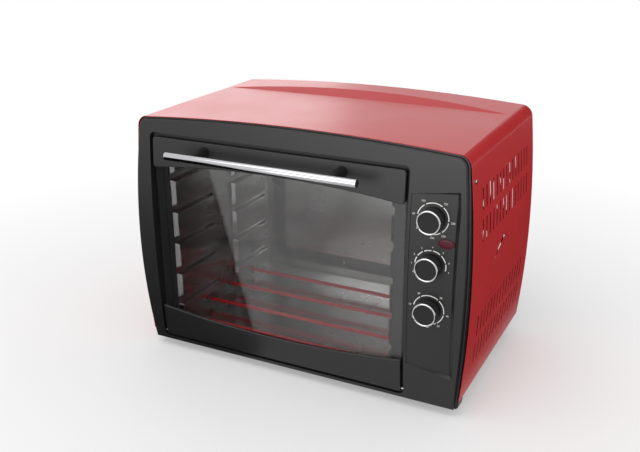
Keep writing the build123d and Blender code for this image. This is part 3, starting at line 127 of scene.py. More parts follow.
@dataclass(frozen=True)
class Finish:
    """One surface: its colours, gloss, and patterns at their real size in millimetres."""

    name: str
    colour: str
    shade: str
    roughness: float
    spread: float = 0.04
    metallic: float = 0.0
    ior: float = 1.5
    grain: Grain = Grain.EVEN
    grain_mm: float = 1.0
    grain_depth_mm: float = 0.01
    cloud_mm: float = 60.0
    edge_mm: float = 0.0
    alpha: float = 1.0
    glow: float = 0.0

    def build(self) -> bpy.types.Material:
        """Make the node material.

        Returns:
            A material that reads Object coordinates only.
        """
        material = bpy.data.materials.new(self.name)
        material.use_nodes = True
        tree = material.node_tree
        tree.nodes.clear()
        place = add_node(tree, "ShaderNodeTexCoord").outputs["Object"]
        cloud = add_node(
            tree, "ShaderNodeTexNoise", {"Vector": place, "Scale": 1 / (self.cloud_mm * MM), "Detail": 4.0}
        ).outputs["Fac"]
        drawn = add_node(tree, "ShaderNodeMapping", {"Vector": place, "Scale": self.grain.value})
        grain = add_node(
            tree,
            "ShaderNodeTexNoise",
            {"Vector": drawn.outputs["Vector"], "Scale": 1 / (self.grain_mm * MM), "Detail": 2.0},
        ).outputs["Fac"]
        tone = self.tone(tree, place, cloud)
        gloss = add_node(
            tree,
            "ShaderNodeMapRange",
            {
                "Value": cloud,
                "From Min": CLOUD_LOW,
                "From Max": CLOUD_HIGH,
                "To Min": max(self.roughness - self.spread, SMOOTHEST),
                "To Max": self.roughness + self.spread,
            },
        ).outputs["Result"]
        shape = {"Height": grain, "Strength": 1.0, "Distance": self.grain_depth_mm * MM}
        if self.edge_mm:
            rounded = add_node(tree, "ShaderNodeBevel", {"Radius": self.edge_mm * MM}, samples=4)
            shape["Normal"] = rounded.outputs["Normal"]
        relief = add_node(tree, "ShaderNodeBump", shape)
        shader = add_node(
            tree,
            "ShaderNodeBsdfPrincipled",
            {
                "Base Color": tone,
                "Roughness": gloss,
                "Metallic": self.metallic,
                "IOR": self.ior,
                "Normal": relief.outputs["Normal"],
                "Alpha": self.alpha,
                "Emission Color": linear(self.colour),
                "Emission Strength": self.glow,
            },
        )
        add_node(tree, "ShaderNodeOutputMaterial", {"Surface": shader.outputs["BSDF"]})
        return material

    def tone(
        self, tree: bpy.types.NodeTree, place: bpy.types.NodeSocket, cloud: bpy.types.NodeSocket
    ) -> bpy.types.NodeSocket:
        """Blend the two colours by slow clouds.

        Args:
            tree: Material's node tree.
            place: Object coordinates; not used here.
            cloud: Slow noise from 0 to 1.

        Returns:
            Colour socket.
        """
        mix = add_node(
            tree,
            "ShaderNodeMix",
            {SHARE: cloud, COLOUR_A: linear(self.shade), COLOUR_B: linear(self.colour)},
            data_type="RGBA",
        )
        return mix.outputs[MIXED_COLOUR]


@dataclass(frozen=True)
class SpangledSteel(Finish):
    """Hot-dipped sheet: soft crystal patches over the clouds, and fine dark specks."""

    spangle_mm: float = 9.0
    spangle_share: float = 0.3
    stain_mm: float = 30.0
    stain_depth: float = 0.15
    stain_from: float = 0.6
    stain_to: float = 0.78
    stain_colour: str = "#2c2b2a"

    def tone(
        self, tree: bpy.types.NodeTree, place: bpy.types.NodeSocket, cloud: bpy.types.NodeSocket
    ) -> bpy.types.NodeSocket:
        """Blend the two colours by clouds and by crystal patches.

        Args:
            tree: Material's node tree.
            place: Object coordinates.
            cloud: Slow noise from 0 to 1.

        Returns:
            Colour socket.
        """
        patches = add_node(
            tree, "ShaderNodeTexVoronoi", {"Vector": place, "Scale": 1 / (self.spangle_mm * MM)}
        ).outputs["Color"]
        grey = add_node(tree, "ShaderNodeRGBToBW", {"Color": patches}).outputs["Val"]
        share = add_node(
            tree,
            "ShaderNodeMix",
            {SHARE: self.spangle_share, VALUE_A: cloud, VALUE_B: grey},
            data_type="FLOAT",
        ).outputs[MIXED_VALUE]
        sheet = add_node(
            tree,
            "ShaderNodeMix",
            {SHARE: share, COLOUR_A: linear(self.shade), COLOUR_B: linear(self.colour)},
            data_type="RGBA",
        ).outputs[MIXED_COLOUR]
        blot = add_node(
            tree,
            "ShaderNodeTexNoise",
            {"Vector": place, "Scale": 1 / (self.stain_mm * MM), "Detail": 6.0, "Roughness": 0.7},
        ).outputs["Fac"]
        stain = add_node(
            tree,
            "ShaderNodeMapRange",
            {
                "Value": blot,
                "From Min": self.stain_from,
                "From Max": self.stain_to,
                "To Max": self.stain_depth,
            },
        ).outputs["Result"]
        stained = add_node(
            tree,
            "ShaderNodeMix",
            {SHARE: stain, COLOUR_A: sheet, COLOUR_B: linear(self.stain_colour)},
            data_type="RGBA",
        )
        return stained.outputs[MIXED_COLOUR]


FINISHES: dict[str, Finish] = {
    # Stoved enamel on pressed steel: even, glossy, with a faint orange peel, drawn at 4 mm to show
    "red_paint": Finish(
        "stoved_enamel_red",
        "#c63437",
        "#bf3034",
        0.3,
        0.03,
        ior=1.34,
        grain_mm=4.0,
        grain_depth_mm=0.012,
        cloud_mm=120.0,
        edge_mm=1.2,
    ),
    # Moulded ABS with a spark-eroded skin: satin, dark, its fine grain drawn at 1.2 mm to show
    "black_plastic": Finish(
        "moulded_abs_satin_black",
        "#1e1e1e",
        "#1a1a1a",
        0.4,
        0.02,
        ior=1.46,
        grain_mm=1.2,
        grain_depth_mm=0.012,
        cloud_mm=90.0,
        edge_mm=0.7,
    ),
    # Moulded ABS, smooth and matt: the flat disc in each knob
    "dark_insert": Finish(
        "moulded_abs_smooth_charcoal",
        "#171717",
        "#131313",
        0.5,
        0.03,
        ior=1.36,
        grain_mm=0.9,
        grain_depth_mm=0.008,
        cloud_mm=20.0,
    ),
    # Chrome plate: mirror bright, with faint draw lines along the tube
    "chrome_trim": Finish(
        "chrome_plate",
        "#c6c6c8",
        "#bdbdc0",
        0.14,
        0.02,
        metallic=1.0,
        grain=Grain.ALONG_WIDTH,
        grain_mm=0.8,
        grain_depth_mm=0.0004,
        cloud_mm=25.0,
    ),
    # Plain machined steel: grey, softly bright
    "bare_steel": Finish(
        "machined_steel",
        "#b4b4b6",
        "#a3a3a5",
        0.28,
        0.05,
        metallic=1.0,
        grain_mm=0.7,
        grain_depth_mm=0.004,
        cloud_mm=12.0,
    ),
    # Zinc-coated sheet: cool grey with crystal patches
    "zinc_steel": SpangledSteel(
        "zinc_coated_steel",
        "#77797b",
        "#626466",
        0.46,
        0.06,
        metallic=1.0,
        grain_mm=0.9,
        grain_depth_mm=0.006,
        cloud_mm=45.0,
        edge_mm=0.3,
    ),
    # Aluminised sheet: light neutral grey, cloudy, with faint crystal patches and darker stains
    "cavity_steel": SpangledSteel(
        "aluminised_steel",
        "#cececd",
        "#b2b1b0",
        0.24,
        0.05,
        metallic=1.0,
        grain_mm=1.6,
        grain_depth_mm=0.008,
        cloud_mm=80.0,
        spangle_mm=4.0,
        spangle_share=0.1,
        stain_mm=6.0,
        stain_depth=0.3,
    ),
    # Toughened glass as a thin pane: its index is raised because the pane is mostly clear
    "door_glass": Finish(
        "toughened_glass",
        "#0b0d0d",
        "#090b0b",
        0.015,
        0.005,
        ior=2.7,
        grain_mm=40.0,
        grain_depth_mm=0.0002,
        cloud_mm=150.0,
        alpha=0.22,
    ),
    # Red polycarbonate: deep colour under a clear gloss
    "red_lens": Finish(
        "polycarbonate_red",
        "#56101d",
        "#450c17",
        0.3,
        0.03,
        ior=1.35,
        grain_mm=1.0,
        grain_depth_mm=0.004,
        cloud_mm=8.0,
    ),
    # Moulded nylon lamp body
    "white_plastic": Finish(
        "moulded_nylon_white", "#d9d8d2", "#cfcec7", 0.45, grain_mm=0.8, cloud_mm=15.0
    ),
    # Nickel alloy sheath at dull red heat, with a light skin of oxide
    "heater_sheath": Finish(
        "nickel_alloy_red_hot",
        "#dd3238",
        "#c42b32",
        0.3,
        0.05,
        grain_mm=1.5,
        grain_depth_mm=0.006,
        cloud_mm=35.0,
        glow=0.06,
    ),
    # Steatite: dry fired ceramic, greyed by use
    "bush_ceramic": Finish(
        "steatite_ceramic", "#a39d96", "#938d86", 0.62, grain_mm=0.7, grain_depth_mm=0.02, cloud_mm=9.0
    ),
    # Phenolic housing of the controls
    "control_housing": Finish(
        "phenolic_housing", "#4a4643", "#3f3b39", 0.5, grain_mm=1.0, grain_depth_mm=0.015, cloud_mm=20.0
    ),
    # Synthetic rubber: matt, soft edges
    "foot_rubber": Finish(
        "synthetic_rubber", "#212121", "#1a1a1a", 0.8, grain_mm=0.9, grain_depth_mm=0.03, cloud_mm=10.0
    ),
    # Black paint on steel: satin, with a faint texture drawn at 2.5 mm to show
    "black_paint": Finish(
        "satin_black_paint", "#262627", "#1f1f20", 0.45, grain_mm=2.5, grain_depth_mm=0.004, cloud_mm=80.0
    ),
    # Moulded polyamide gland
    "gland_plastic": Finish(
        "moulded_polyamide_black",
        "#1e1e1f",
        "#181819",
        0.5,
        grain_mm=0.8,
        grain_depth_mm=0.015,
        cloud_mm=9.0,
    ),
    # Screen-printed ink: dense matt white
    "print_ink": Finish(
        "screen_print_white", "#f2f2ef", "#e6e6e2", 0.5, grain_mm=0.6, grain_depth_mm=0.004, cloud_mm=6.0
    ),
}


@dataclass
class Palette:
    """The finishes as materials, and what each CAD node wears."""

    materials: dict[str, bpy.types.Material]

    @classmethod
    def mixed(cls) -> Palette:
        """Build every finish once."""
        return cls({name: finish.build() for name, finish in FINISHES.items()})

    def paint(self, piece: bpy.types.Object, finish: str) -> None:
        """Put one finish on a new piece."""
        piece.data.materials.clear()
        piece.data.materials.append(self.materials[finish])

    def dress_nodes(self) -> None:
        """Give each CAD node the finish of its slot in the record, and the front frame the black finish as
        painted shade.
        """
        for part in frame["record"]["subparts"]:
            node = frame["nodes"][part["node"]]
            # The front frame wears the black finish as painted shade: it stands for the dark that the frame
            # reflects behind the door glass.
            finish = "black_paint" if part["node"] == "front_plate" else part["material_slot"]
            for holder in node.material_slots:
                holder.link = "OBJECT"
                holder.material = self.materials[finish]
            LOG.info("node %s wears %s", part["node"], finish)


def choose(piece: bpy.types.Object) -> None:
    """Select one object alone and make it active."""
    bpy.ops.object.select_all(action="DESELECT")
    piece.select_set(True)
    bpy.context.view_layer.objects.active = piece


@contextmanager
def shaping(piece: bpy.types.Object) -> Iterator[None]:
    """Edit mode on one object, with nothing selected in it at the start.

    Args:
        piece: Object to edit.

    Yields:
        Nothing; the block runs in edit mode.
    """
    choose(piece)
    bpy.ops.object.mode_set(mode="EDIT")
    bpy.ops.mesh.select_all(action="DESELECT")
    yield
    bpy.ops.object.mode_set(mode="OBJECT")


def pick_faces(piece: bpy.types.Object, wanted: Callable[[Vector, Vector], bool]) -> None:
    """Select faces in edit mode by their centre and normal.

    Args:
        piece: Object in edit mode.
        wanted: Test of a face's centre and normal.
    """
    bpy.ops.mesh.select_mode(type="FACE")
    bpy.ops.mesh.select_all(action="DESELECT")
    mesh = bmesh.from_edit_mesh(piece.data)
    for face in mesh.faces:
        if wanted(face.calc_center_median(), face.normal):
            face.select_set(True)
    bmesh.update_edit_mesh(piece.data)


def pick_edges(piece: bpy.types.Object, wanted: Callable[[Vector], bool]) -> None:
    """Select the edges in edit mode whose two ends both pass a test.

    Args:
        piece: Object in edit mode.
        wanted: Test of an end's place.
    """
    bpy.ops.mesh.select_mode(type="EDGE")
    bpy.ops.mesh.select_all(action="DESELECT")
    mesh = bmesh.from_edit_mesh(piece.data)
    for edge in mesh.edges:
        if all(wanted(end.co) for end in edge.verts):
            edge.select_set(True)
    bmesh.update_edit_mesh(piece.data)


def place_in_mesh() -> bpy.types.Object:
    """Move the active object's place, turn and scale into its mesh.

    Returns:
        The active object.
    """
    bpy.ops.object.transform_apply(location=True, rotation=True, scale=True)
    return bpy.context.object


def round_bar(centre: Vector, radius: float, length: float, turn: tuple, sides: int) -> bpy.types.Object:
    """Start a round piece.

    Args:
        centre: Middle of the bar.
        radius: Its radius in metres.
        length: Its length in metres.
        turn: Rotation that lays the bar's axis.
        sides: Number of facets round it.

    Returns:
        The new object.
    """
    bpy.ops.object.select_all(action="DESELECT")
    bpy.ops.mesh.primitive_cylinder_add(
        vertices=sides, radius=radius, depth=length, location=centre, rotation=turn
    )
    return place_in_mesh()


def flat_sheet(centre: Vector, width: float, depth: float, turn: tuple) -> bpy.types.Object:
    """Start a flat piece of one face.

    Args:
        centre: Middle of the sheet.
        width: Its side along X before the turn.
        depth: Its side along Y before the turn.
        turn: Its rotation.

    Returns:
        The new object.
    """
    bpy.ops.object.select_all(action="DESELECT")
    bpy.ops.mesh.primitive_plane_add(size=1, location=centre, rotation=turn)
    bpy.context.object.scale = (width, depth, 1.0)
    return place_in_mesh()


def block(centre: Vector, size: Vector, turn: tuple = (0.0, 0.0, 0.0)) -> bpy.types.Object:
    """Start a square piece.

    Args:
        centre: Middle of the block.
        size: Its three sides in metres.
        turn: Its rotation.

    Returns:
        The new object.
    """
    bpy.ops.object.select_all(action="DESELECT")
    bpy.ops.mesh.primitive_cube_add(size=1, location=centre, rotation=turn, scale=size)
    return place_in_mesh()


def join(pieces: list[bpy.types.Object]) -> bpy.types.Object:
    """Join objects into the first of them.

    Args:
        pieces: Objects with their places in their meshes.

    Returns:
        The joined object.
    """
    choose(pieces[0])
    for piece in pieces[1:]:
        piece.select_set(True)
    bpy.ops.object.join()
    return bpy.context.object


def apply_modifier(piece: bpy.types.Object, kind: str, **settings) -> None:
    """Add one modifier with its settings and apply it.

    Args:
        piece: Object to change.
        kind: Type name of the modifier.
        **settings: Its properties.
    """
    choose(piece)
    modifier = piece.modifiers.new(kind.title(), kind)
    for name, value in settings.items():
        setattr(modifier, name, value)
    bpy.ops.object.modifier_apply(modifier=modifier.name)


@dataclass
class Assembler:
    """Finishes pieces off: shading, finish, name, body and the node that a piece stands for."""

    palette: Palette

    def fit(
        self,
        piece: bpy.types.Object,
        name: str,
        body: str,
        finish: str,
        replaced: tuple[str, ...] = (),
        angle: float = 40.0,
    ) -> bpy.types.Object:
        """Fit one piece to its body.

        Args:
            piece: Finished mesh, in the frame's own place.
            name: Name of the piece.
            body: CAD body that it rides on.
            finish: Key of its finish.
            replaced: CAD nodes that it stands for.
            angle: Largest angle in degrees that is shaded smooth.

        Returns:
            The piece.
        """
        choose(piece)
        bpy.ops.object.shade_smooth_by_angle(angle=radians(angle))
        piece.name = name
        piece.data.name = name
        self.palette.paint(piece, finish)
        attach(piece, body)
        "white_plastic" if finish == "print_ink" else finish
        if replaced:
            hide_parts(*replaced)
        LOG.info("piece %s on %s, %d faces", name, body, len(piece.data.polygons))
        return piece


@dataclass
class DoorHandle:
    """Chromed tube with recessed plugs, in place of the plain tube."""

    fitter: Assembler
    wall: float = 1.2 * MM
    lip: float = 0.45 * MM
    recess: float = 1.5 * MM
    plug_gap: float = 0.1 * MM
    plug_steps: tuple[tuple[float, float], ...] = ((0.8 * MM, 0.2 * MM), (1.2 * MM, 0.5 * MM))
    sides: int = 72

    def build(self) -> None:
        """Make the tube and its two plugs."""
        low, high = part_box("handle_bar")
        centre = (low + high) / 2
        radius = (high.z - low.z) / 2
        self.tube(centre, radius, high.x - low.x)
        plugs = [self.plug(centre, radius, end, way) for end, way in ((low.x, 1), (high.x, -1))]
        self.fitter.fit(join(plugs), "handle_plugs", "door", "black_plastic", ("handle_end_caps",))

    def tube(self, centre: Vector, radius: float, length: float) -> None:
        """Bore both ends of a bar and round its rims.

        Args:
            centre: Middle of the tube.
            radius: Outer radius.
            length: Length.
        """
        bar = round_bar(centre, radius, length, ALONG_X, self.sides)
        half = length / 2
        with shaping(bar):
            pick_faces(bar, lambda place, normal: abs(normal.x) > FACING)
            bpy.ops.mesh.inset(thickness=self.wall)
            bpy.ops.mesh.extrude_region_shrink_fatten(TRANSFORM_OT_shrink_fatten={"value": -self.recess})
            bpy.ops.mesh.inset(thickness=self.wall)
            bpy.ops.mesh.select_all(action="DESELECT")
            pick_edges(
                bar,
                lambda end: abs(abs(end.x - centre.x) - half) < TOUCH
                and hypot(end.y - centre.y, end.z - centre.z) > radius - TOUCH,
            )
            bpy.ops.mesh.bevel(offset=self.lip, segments=4)
        self.fitter.fit(bar, "handle_tube", "door", "chrome_trim", ("handle_bar",))

    def plug(self, centre: Vector, radius: float, end: float, way: int) -> bpy.types.Object:
        """Make one dished plug that sits inside the tube's end.

        Args:
            centre: Middle of the tube.
            radius: Tube's outer radius.
            end: Place of the tube's end along X.
            way: 1 where the tube runs on to the right, -1 to the left.

        Returns:
            The plug.
        """
        depth = self.recess - self.plug_gap
        middle = Vector((end + way * (self.recess - depth / 2), centre.y, centre.z))
        cap = round_bar(middle, radius - self.wall - self.plug_gap, depth, ALONG_X, self.sides)
        with shaping(cap):
            pick_faces(cap, lambda place, normal: normal.x * way < -FACING)
            for width, drop in self.plug_steps:
                bpy.ops.mesh.inset(thickness=width, depth=-drop)
        return cap


@dataclass
class KnobFront:
    """Bright ring, turned disc and pointer bar at the front of one knob."""

    fitter: Assembler
    name: str
    off_angle: float
    ring_round: float = 1.3 * MM
    steps: int = 112
    disc_rim: float = 0.9 * MM
    disc_drop: float = 0.25 * MM
    hollow_reach: float = 0.35
    hollow_drop: float = 0.3
    pointer_width: float = 1.1 * MM
    pointer_proud: float = 0.12 * MM
    pointer_margin: float = 0.3 * MM
    pointer_round: float = 0.1 * MM

    def build(self) -> None:
        """Make the three pieces of this knob's front."""
        low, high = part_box(f"{self.name}_knob_ring")
        disc_low, disc_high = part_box(f"{self.name}_knob_disc")
        centre = (low + high) / 2
        outer = (high.x - low.x) / 2
        inner = (disc_high.x - disc_low.x) / 2
        self.ring(centre, inner, outer, high.y - low.y)
        self.disc((disc_low + disc_high) / 2, inner, disc_high.y - disc_low.y)
        self.pointer(Vector((centre.x, low.y, centre.z)), inner, outer)

    def ring(self, centre: Vector, inner: float, outer: float, length: float) -> None:
        """Sweep a rounded section round the knob's axis.

        Args:
            centre: Middle of the ring.
            inner: Radius of its bore.
            outer: Outer radius.
            length: Length along the axis.
        """
        middle = Vector((centre.x, centre.y, centre.z + (inner + outer) / 2))
        ring = flat_sheet(middle, outer - inner, length, ALONG_X)
        with shaping(ring):
            bpy.ops.mesh.select_all(action="SELECT")
            bpy.ops.mesh.bevel(offset=self.ring_round, segments=4, affect="VERTICES")
            bpy.ops.mesh.select_all(action="SELECT")
            bpy.ops.mesh.delete(type="ONLY_FACE")
            bpy.ops.mesh.select_all(action="SELECT")
            bpy.ops.mesh.spin(steps=self.steps, angle=2 * pi, center=centre, axis=(0, 1, 0))
            bpy.ops.mesh.select_all(action="SELECT")
            bpy.ops.mesh.remove_doubles(threshold=MERGE)
            bpy.ops.mesh.normals_make_consistent(inside=False)
        body = f"knob_{self.name}"
        self.fitter.fit(ring, f"{self.name}_bright_ring", body, "chrome_trim", (f"{self.name}_knob_ring",))

    def disc(self, centre: Vector, radius: float, thickness: float) -> None:
        """Dish the face of a disc inside a narrow rim.

        Args:
            centre: Middle of the disc.
            radius: Its radius.
            thickness: Its thickness.
        """
        disc = round_bar(centre, radius, thickness, ALONG_Y, self.steps)
        with shaping(disc):
            pick_faces(disc, lambda place, normal: normal.y < -FACING)
            bpy.ops.mesh.inset(thickness=self.disc_rim)
            bpy.ops.mesh.inset(thickness=self.disc_drop, depth=-self.disc_drop)
            bpy.ops.mesh.inset(
                thickness=self.hollow_reach * radius, depth=-self.hollow_drop * self.disc_drop
            )
        body = f"knob_{self.name}"
        self.fitter.fit(disc, f"{self.name}_turned_disc", body, "dark_insert", (f"{self.name}_knob_disc",))

    def pointer(self, centre: Vector, inner: float, outer: float) -> None:
        """Set a dark pointer bar in the ring, at the off position.

        Args:
            centre: Middle of the ring's front.
            inner: Radius of the ring's bore.
            outer: Outer radius of the ring.
        """
        angle = radians(self.off_angle)
        reach = (inner + outer) / 2
        middle = centre + Vector((reach * cos(angle), 0.0, reach * sin(angle)))
        length = outer - inner - 2 * self.pointer_margin
        size = Vector((length, 2 * self.pointer_proud, self.pointer_width))
        bar = block(middle, size, (0.0, -angle, 0.0))
        apply_modifier(bar, "BEVEL", width=self.pointer_round, segments=3)
        self.fitter.fit(bar, f"{self.name}_pointer", f"knob_{self.name}", "black_plastic")


@dataclass
class DialPrint:
    """Printed arc with gaps at its marks, and plain numbers round it."""

    fitter: Assembler
    name: str
    marks: tuple[tuple[float, str], ...]
    radius: float = 22.4 * MM
    width: float = 1.4 * MM
    number_radius: float = 27.4 * MM
    number_size: float = 4.0 * MM
    digit_shift: float = 0.7 * MM
    stand_off: float = 2 * MM
    gap: float = 2.6
    ink: float = 0.06 * MM
    steps: int = 360

    def build(self) -> None:
        """Make the print and lay it on the control plate."""
        low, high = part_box(f"{self.name}_knob_ring")
        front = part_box("control_plate")[0].y - self.stand_off
        centre = Vector(((low.x + high.x) / 2, front, (low.z + high.z) / 2))
        pieces = [self.arc(centre)]
        for angle, label in self.marks:
            pieces.append(self.number(centre, radians(angle), label))
        ink = join(pieces)
        apply_modifier(
            ink,
            "SHRINKWRAP",
            target=frame["nodes"]["control_plate"],
            wrap_method="PROJECT",
            use_project_y=True,
            use_positive_direction=True,
            offset=self.ink,
        )
        self.fitter.fit(ink, f"{self.name}_dial_print", "root", "print_ink")

    def arc(self, centre: Vector) -> bpy.types.Object:
        """Cut the gaps out of a flat ring.

        Args:
            centre: Middle of the dial, in front of the plate.

        Returns:
            The printed arc, flat.
        """
        bpy.ops.object.select_all(action="DESELECT")
        bpy.ops.mesh.primitive_circle_add(
            vertices=self.steps,
            radius=self.radius + self.width / 2,
            fill_type="NGON",
            location=centre,
            rotation=ALONG_Y,
        )
        ring = place_in_mesh()
        angles = [angle for angle, label in self.marks]
        first, last = angles[1], angles[-1]

        def bare(place: Vector, normal: Vector) -> bool:
            """Tell whether a face lies past the arc's ends or in the gap at a mark."""
            angle = degrees(atan2(place.z - centre.z, place.x - centre.x))
            beyond = not any(last + self.gap < turn < first - self.gap for turn in (angle, angle + 360))
            at_mark = any(abs((angle - mark + 180) % 360 - 180) < self.gap for mark in angles)
            return beyond or at_mark

        with shaping(ring):
            bpy.ops.mesh.select_all(action="SELECT")
            bpy.ops.mesh.inset(thickness=self.width)
            bpy.ops.mesh.delete(type="FACE")
            pick_faces(ring, bare)
            bpy.ops.mesh.delete(type="FACE")
        return ring

    def number(self, centre: Vector, angle: float, label: str) -> bpy.types.Object:
        """Set one number outside the arc.

        Args:
            centre: Middle of the dial, in front of the plate.
            angle: Place of the mark in radians.
            label: Digits to print.

        Returns:
            The number as a flat mesh.
        """
        reach = self.number_radius + self.digit_shift * (len(label) - 1) * abs(cos(angle))
        bpy.ops.object.select_all(action="DESELECT")
        bpy.ops.object.text_add(
            location=centre + Vector((reach * cos(angle), 0.0, reach * sin(angle))), rotation=ALONG_Y
        )
        text = bpy.context.object
        text.data.body = label
        text.data.size = self.number_size
        text.data.align_x = "CENTER"
        text.data.align_y = "CENTER"
        text.data.resolution_u = 3
        bpy.ops.object.convert(target="MESH")
        return place_in_mesh()


@dataclass
class LampLens:
    """Oval lens with a raised rim and a low dome, in place of the plain lens."""

    fitter: Assembler
    edge_round: float = 0.6 * MM
    rim: float = 0.9 * MM
    step: float = 0.5 * MM
    step_width: float = 0.3 * MM
    front_face: float = 0.99
    dome: tuple[tuple[float, float], ...] = ((0.86, 0.4), (0.66, 0.3), (0.42, 0.15))
    sides: int = 96
    smooth: float = 50.0

    def build(self) -> None:
        """Shape the lens from an oval slug."""
        low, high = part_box("indicator_lens")
        centre = (low + high) / 2
        slug = round_bar(centre, (high.x - low.x) / 2, high.y - low.y, ALONG_Y, self.sides)
        slug.data.transform(Matrix.Translation(-centre))
        slug.location = centre
        slug.scale = (1.0, 1.0, (high.z - low.z) / (high.x - low.x))
        choose(slug)
        place_in_mesh()
        with shaping(slug):
            pick_edges(slug, lambda end: end.y < low.y + TOUCH)
            bpy.ops.mesh.bevel(offset=self.edge_round, segments=4)
            pick_faces(slug, lambda place, normal: normal.y < -self.front_face)
            bpy.ops.mesh.inset(thickness=self.rim)
            bpy.ops.mesh.inset(thickness=self.step_width, depth=-self.step)
            share = 1.0
            for size, rise in self.dome:
                bpy.ops.mesh.extrude_region_move(
                    TRANSFORM_OT_translate={"value": (0, -rise * self.step, 0)}
                )
                bpy.ops.transform.resize(value=(size / share, 1, size / share), center_override=centre)
                share = size
        self.fitter.fit(slug, "lamp_lens", "root", "red_lens", ("indicator_lens",), self.smooth)


@dataclass
class CavityWall:
    """Side wall of the cavity, pressed out in rounded shelf pads.

    Pads, shelves and spit hole are placed in millimetres from the face plane and its lower edge.
    """

    fitter: Assembler
    node: str
    inward: int
    sheet: float = 0.8 * MM
    press: float = 8.0 * MM
    pad_side: float = 3.0 * MM
    pad_front: float = 5.0 * MM
    pad_round: float = 1.6 * MM
    least_bend: float = 25.0
    crest_depth: float = 0.5 * MM
    edge_reach: float = 0.1 * MM
    flange: float = 10.0 * MM
    # Reach from the front within which the flange wears the black finish as painted shade
    painted_shade_edge: float = 1.2 * MM
    pad_ends: tuple[tuple[float, float], ...] = ((10.0, 125.0), (187.0, 302.0))
    shelf_gap: float = 9.5
    shelf_pitch: float = 55.0
    shelf_count: int = 5
    top_shelf: float = 291.5
    end_pad: float = 20.0
    spit_hole: tuple[float, float, float] = (155.5, 175.7, 2.2)
    hole_sides: int = 32

    def rows(self) -> list[tuple[float, float]]:
        """Work out the lower and upper edge of each row of pads, in metres.

        Returns:
            Pairs of heights in the frame.
        """
        half = self.shelf_gap / 2
        edges = [(self.top_shelf + half, self.top_shelf + half + self.end_pad)]
        for row in range(1, self.shelf_count):
            low = self.top_shelf - self.shelf_pitch * row + half
            edges.append((low, low + self.shelf_pitch - self.shelf_gap))
        lowest = self.top_shelf - self.shelf_pitch * (self.shelf_count - 1) - half
        edges.append((lowest - self.end_pad, lowest))
        return [(FACE_FOOT + low * MM, FACE_FOOT + high * MM) for low, high in edges]

    def build(self) -> None:
        """Press one wall out of a flat sheet."""
        low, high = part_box(self.node)
        face_x = high.x - self.press if self.inward > 0 else low.x + self.press
        columns = [(FACE_Y + start * MM, FACE_Y + end * MM) for start, end in self.pad_ends]
        rows = self.rows()
        middle = Vector((face_x, (low.y + high.y) / 2, (low.z + high.z) / 2))
        wall = flat_sheet(middle, high.z - low.z, high.y - low.y, (0.0, self.inward * pi / 2, 0.0))

        def on_pad(place: Vector, normal: Vector) -> bool:
            """Tell whether a face lies on one of the pads."""
            in_column = any(start < place.y < end for start, end in columns)
            return in_column and any(foot < place.z < top for foot, top in rows)

        with shaping(wall):
            for start, end in columns:
                for cut in (start, end):
                    bpy.ops.mesh.select_all(action="SELECT")
                    bpy.ops.mesh.bisect(plane_co=(face_x, cut, 0), plane_no=(0, 1, 0))
            for foot, top in rows:
                for cut in (foot, top):
                    bpy.ops.mesh.select_all(action="SELECT")
                    bpy.ops.mesh.bisect(plane_co=(face_x, 0, cut), plane_no=(0, 0, 1))
            pick_faces(wall, on_pad)
            bpy.ops.mesh.inset(thickness=self.pad_side, depth=self.press)
            crest = face_x + self.inward * (self.press - self.crest_depth)
            for start, end in columns:
                pick_edges(
                    wall,
                    lambda point, edge=start: (point.x - crest) * self.inward > 0
                    and abs(point.y - edge - self.pad_side) < self.edge_reach,
                )
                bpy.ops.transform.translate(value=(0, self.pad_front - self.pad_side, 0))
            bpy.ops.mesh.select_all(action="DESELECT")
            bpy.ops.mesh.edges_select_sharp(sharpness=radians(self.least_bend))
            bpy.ops.mesh.bevel(offset=self.pad_round, segments=4)
            pick_edges(wall, lambda point: point.y < low.y + TOUCH)
            bpy.ops.mesh.extrude_region_move(
                TRANSFORM_OT_translate={"value": (-self.inward * self.flange, 0, 0)}
            )
        apply_modifier(wall, "SOLIDIFY", thickness=self.sheet, offset=-1.0)
        back, height, radius = (size * MM for size in self.spit_hole)
        hole = Vector((face_x, FACE_Y + back, FACE_FOOT + height))
        cutter = round_bar(hole, radius, 2 * self.press, ALONG_X, self.hole_sides)
        apply_modifier(wall, "BOOLEAN", operation="DIFFERENCE", object=cutter)
        bpy.data.objects.remove(cutter)
        self.fitter.fit(wall, f"{self.node}_pressing", "root", "cavity_steel", (self.node,))
        # The front flange wears the front frame's black finish: painted shade, like the frame.
        wall.data.materials.append(self.fitter.palette.materials["black_paint"])
        for face in wall.data.polygons:
            face.material_index = int(face.center.y < low.y + self.painted_shade_edge)


@dataclass
class RoundedPressing:
    """Copy of a pressed sheet whose bends are rolled round, as a press leaves them."""

    fitter: Assembler
    node: str
    finish: str
    bend: float = 2.4 * MM
    least_bend: float = 9.0
    flatness: float = 0.5

    def build(self) -> None:
        """Copy the node's mesh without its marks, merge it and round its bends."""
        sheet = frame["nodes"][self.node].copy()
        sheet.data = sheet.data.copy()
        sheet.parent = None
        for key in list(sheet.keys()):
            del sheet[key]
        bpy.context.scene.collection.objects.link(sheet)
        with shaping(sheet):
            bpy.ops.mesh.select_all(action="SELECT")
            bpy.ops.mesh.remove_doubles(threshold=MERGE)
            bpy.ops.mesh.customdata_custom_splitnormals_clear()
            bpy.ops.mesh.dissolve_limited(angle_limit=radians(self.flatness))
        apply_modifier(
            sheet,
            "BEVEL",
            width=self.bend,
            segments=3,
            limit_method="ANGLE",
            angle_limit=radians(self.least_bend),
            harden_normals=False,
        )
        self.fitter.fit(sheet, f"{self.node}_pressing", "root", self.finish, (self.node,))


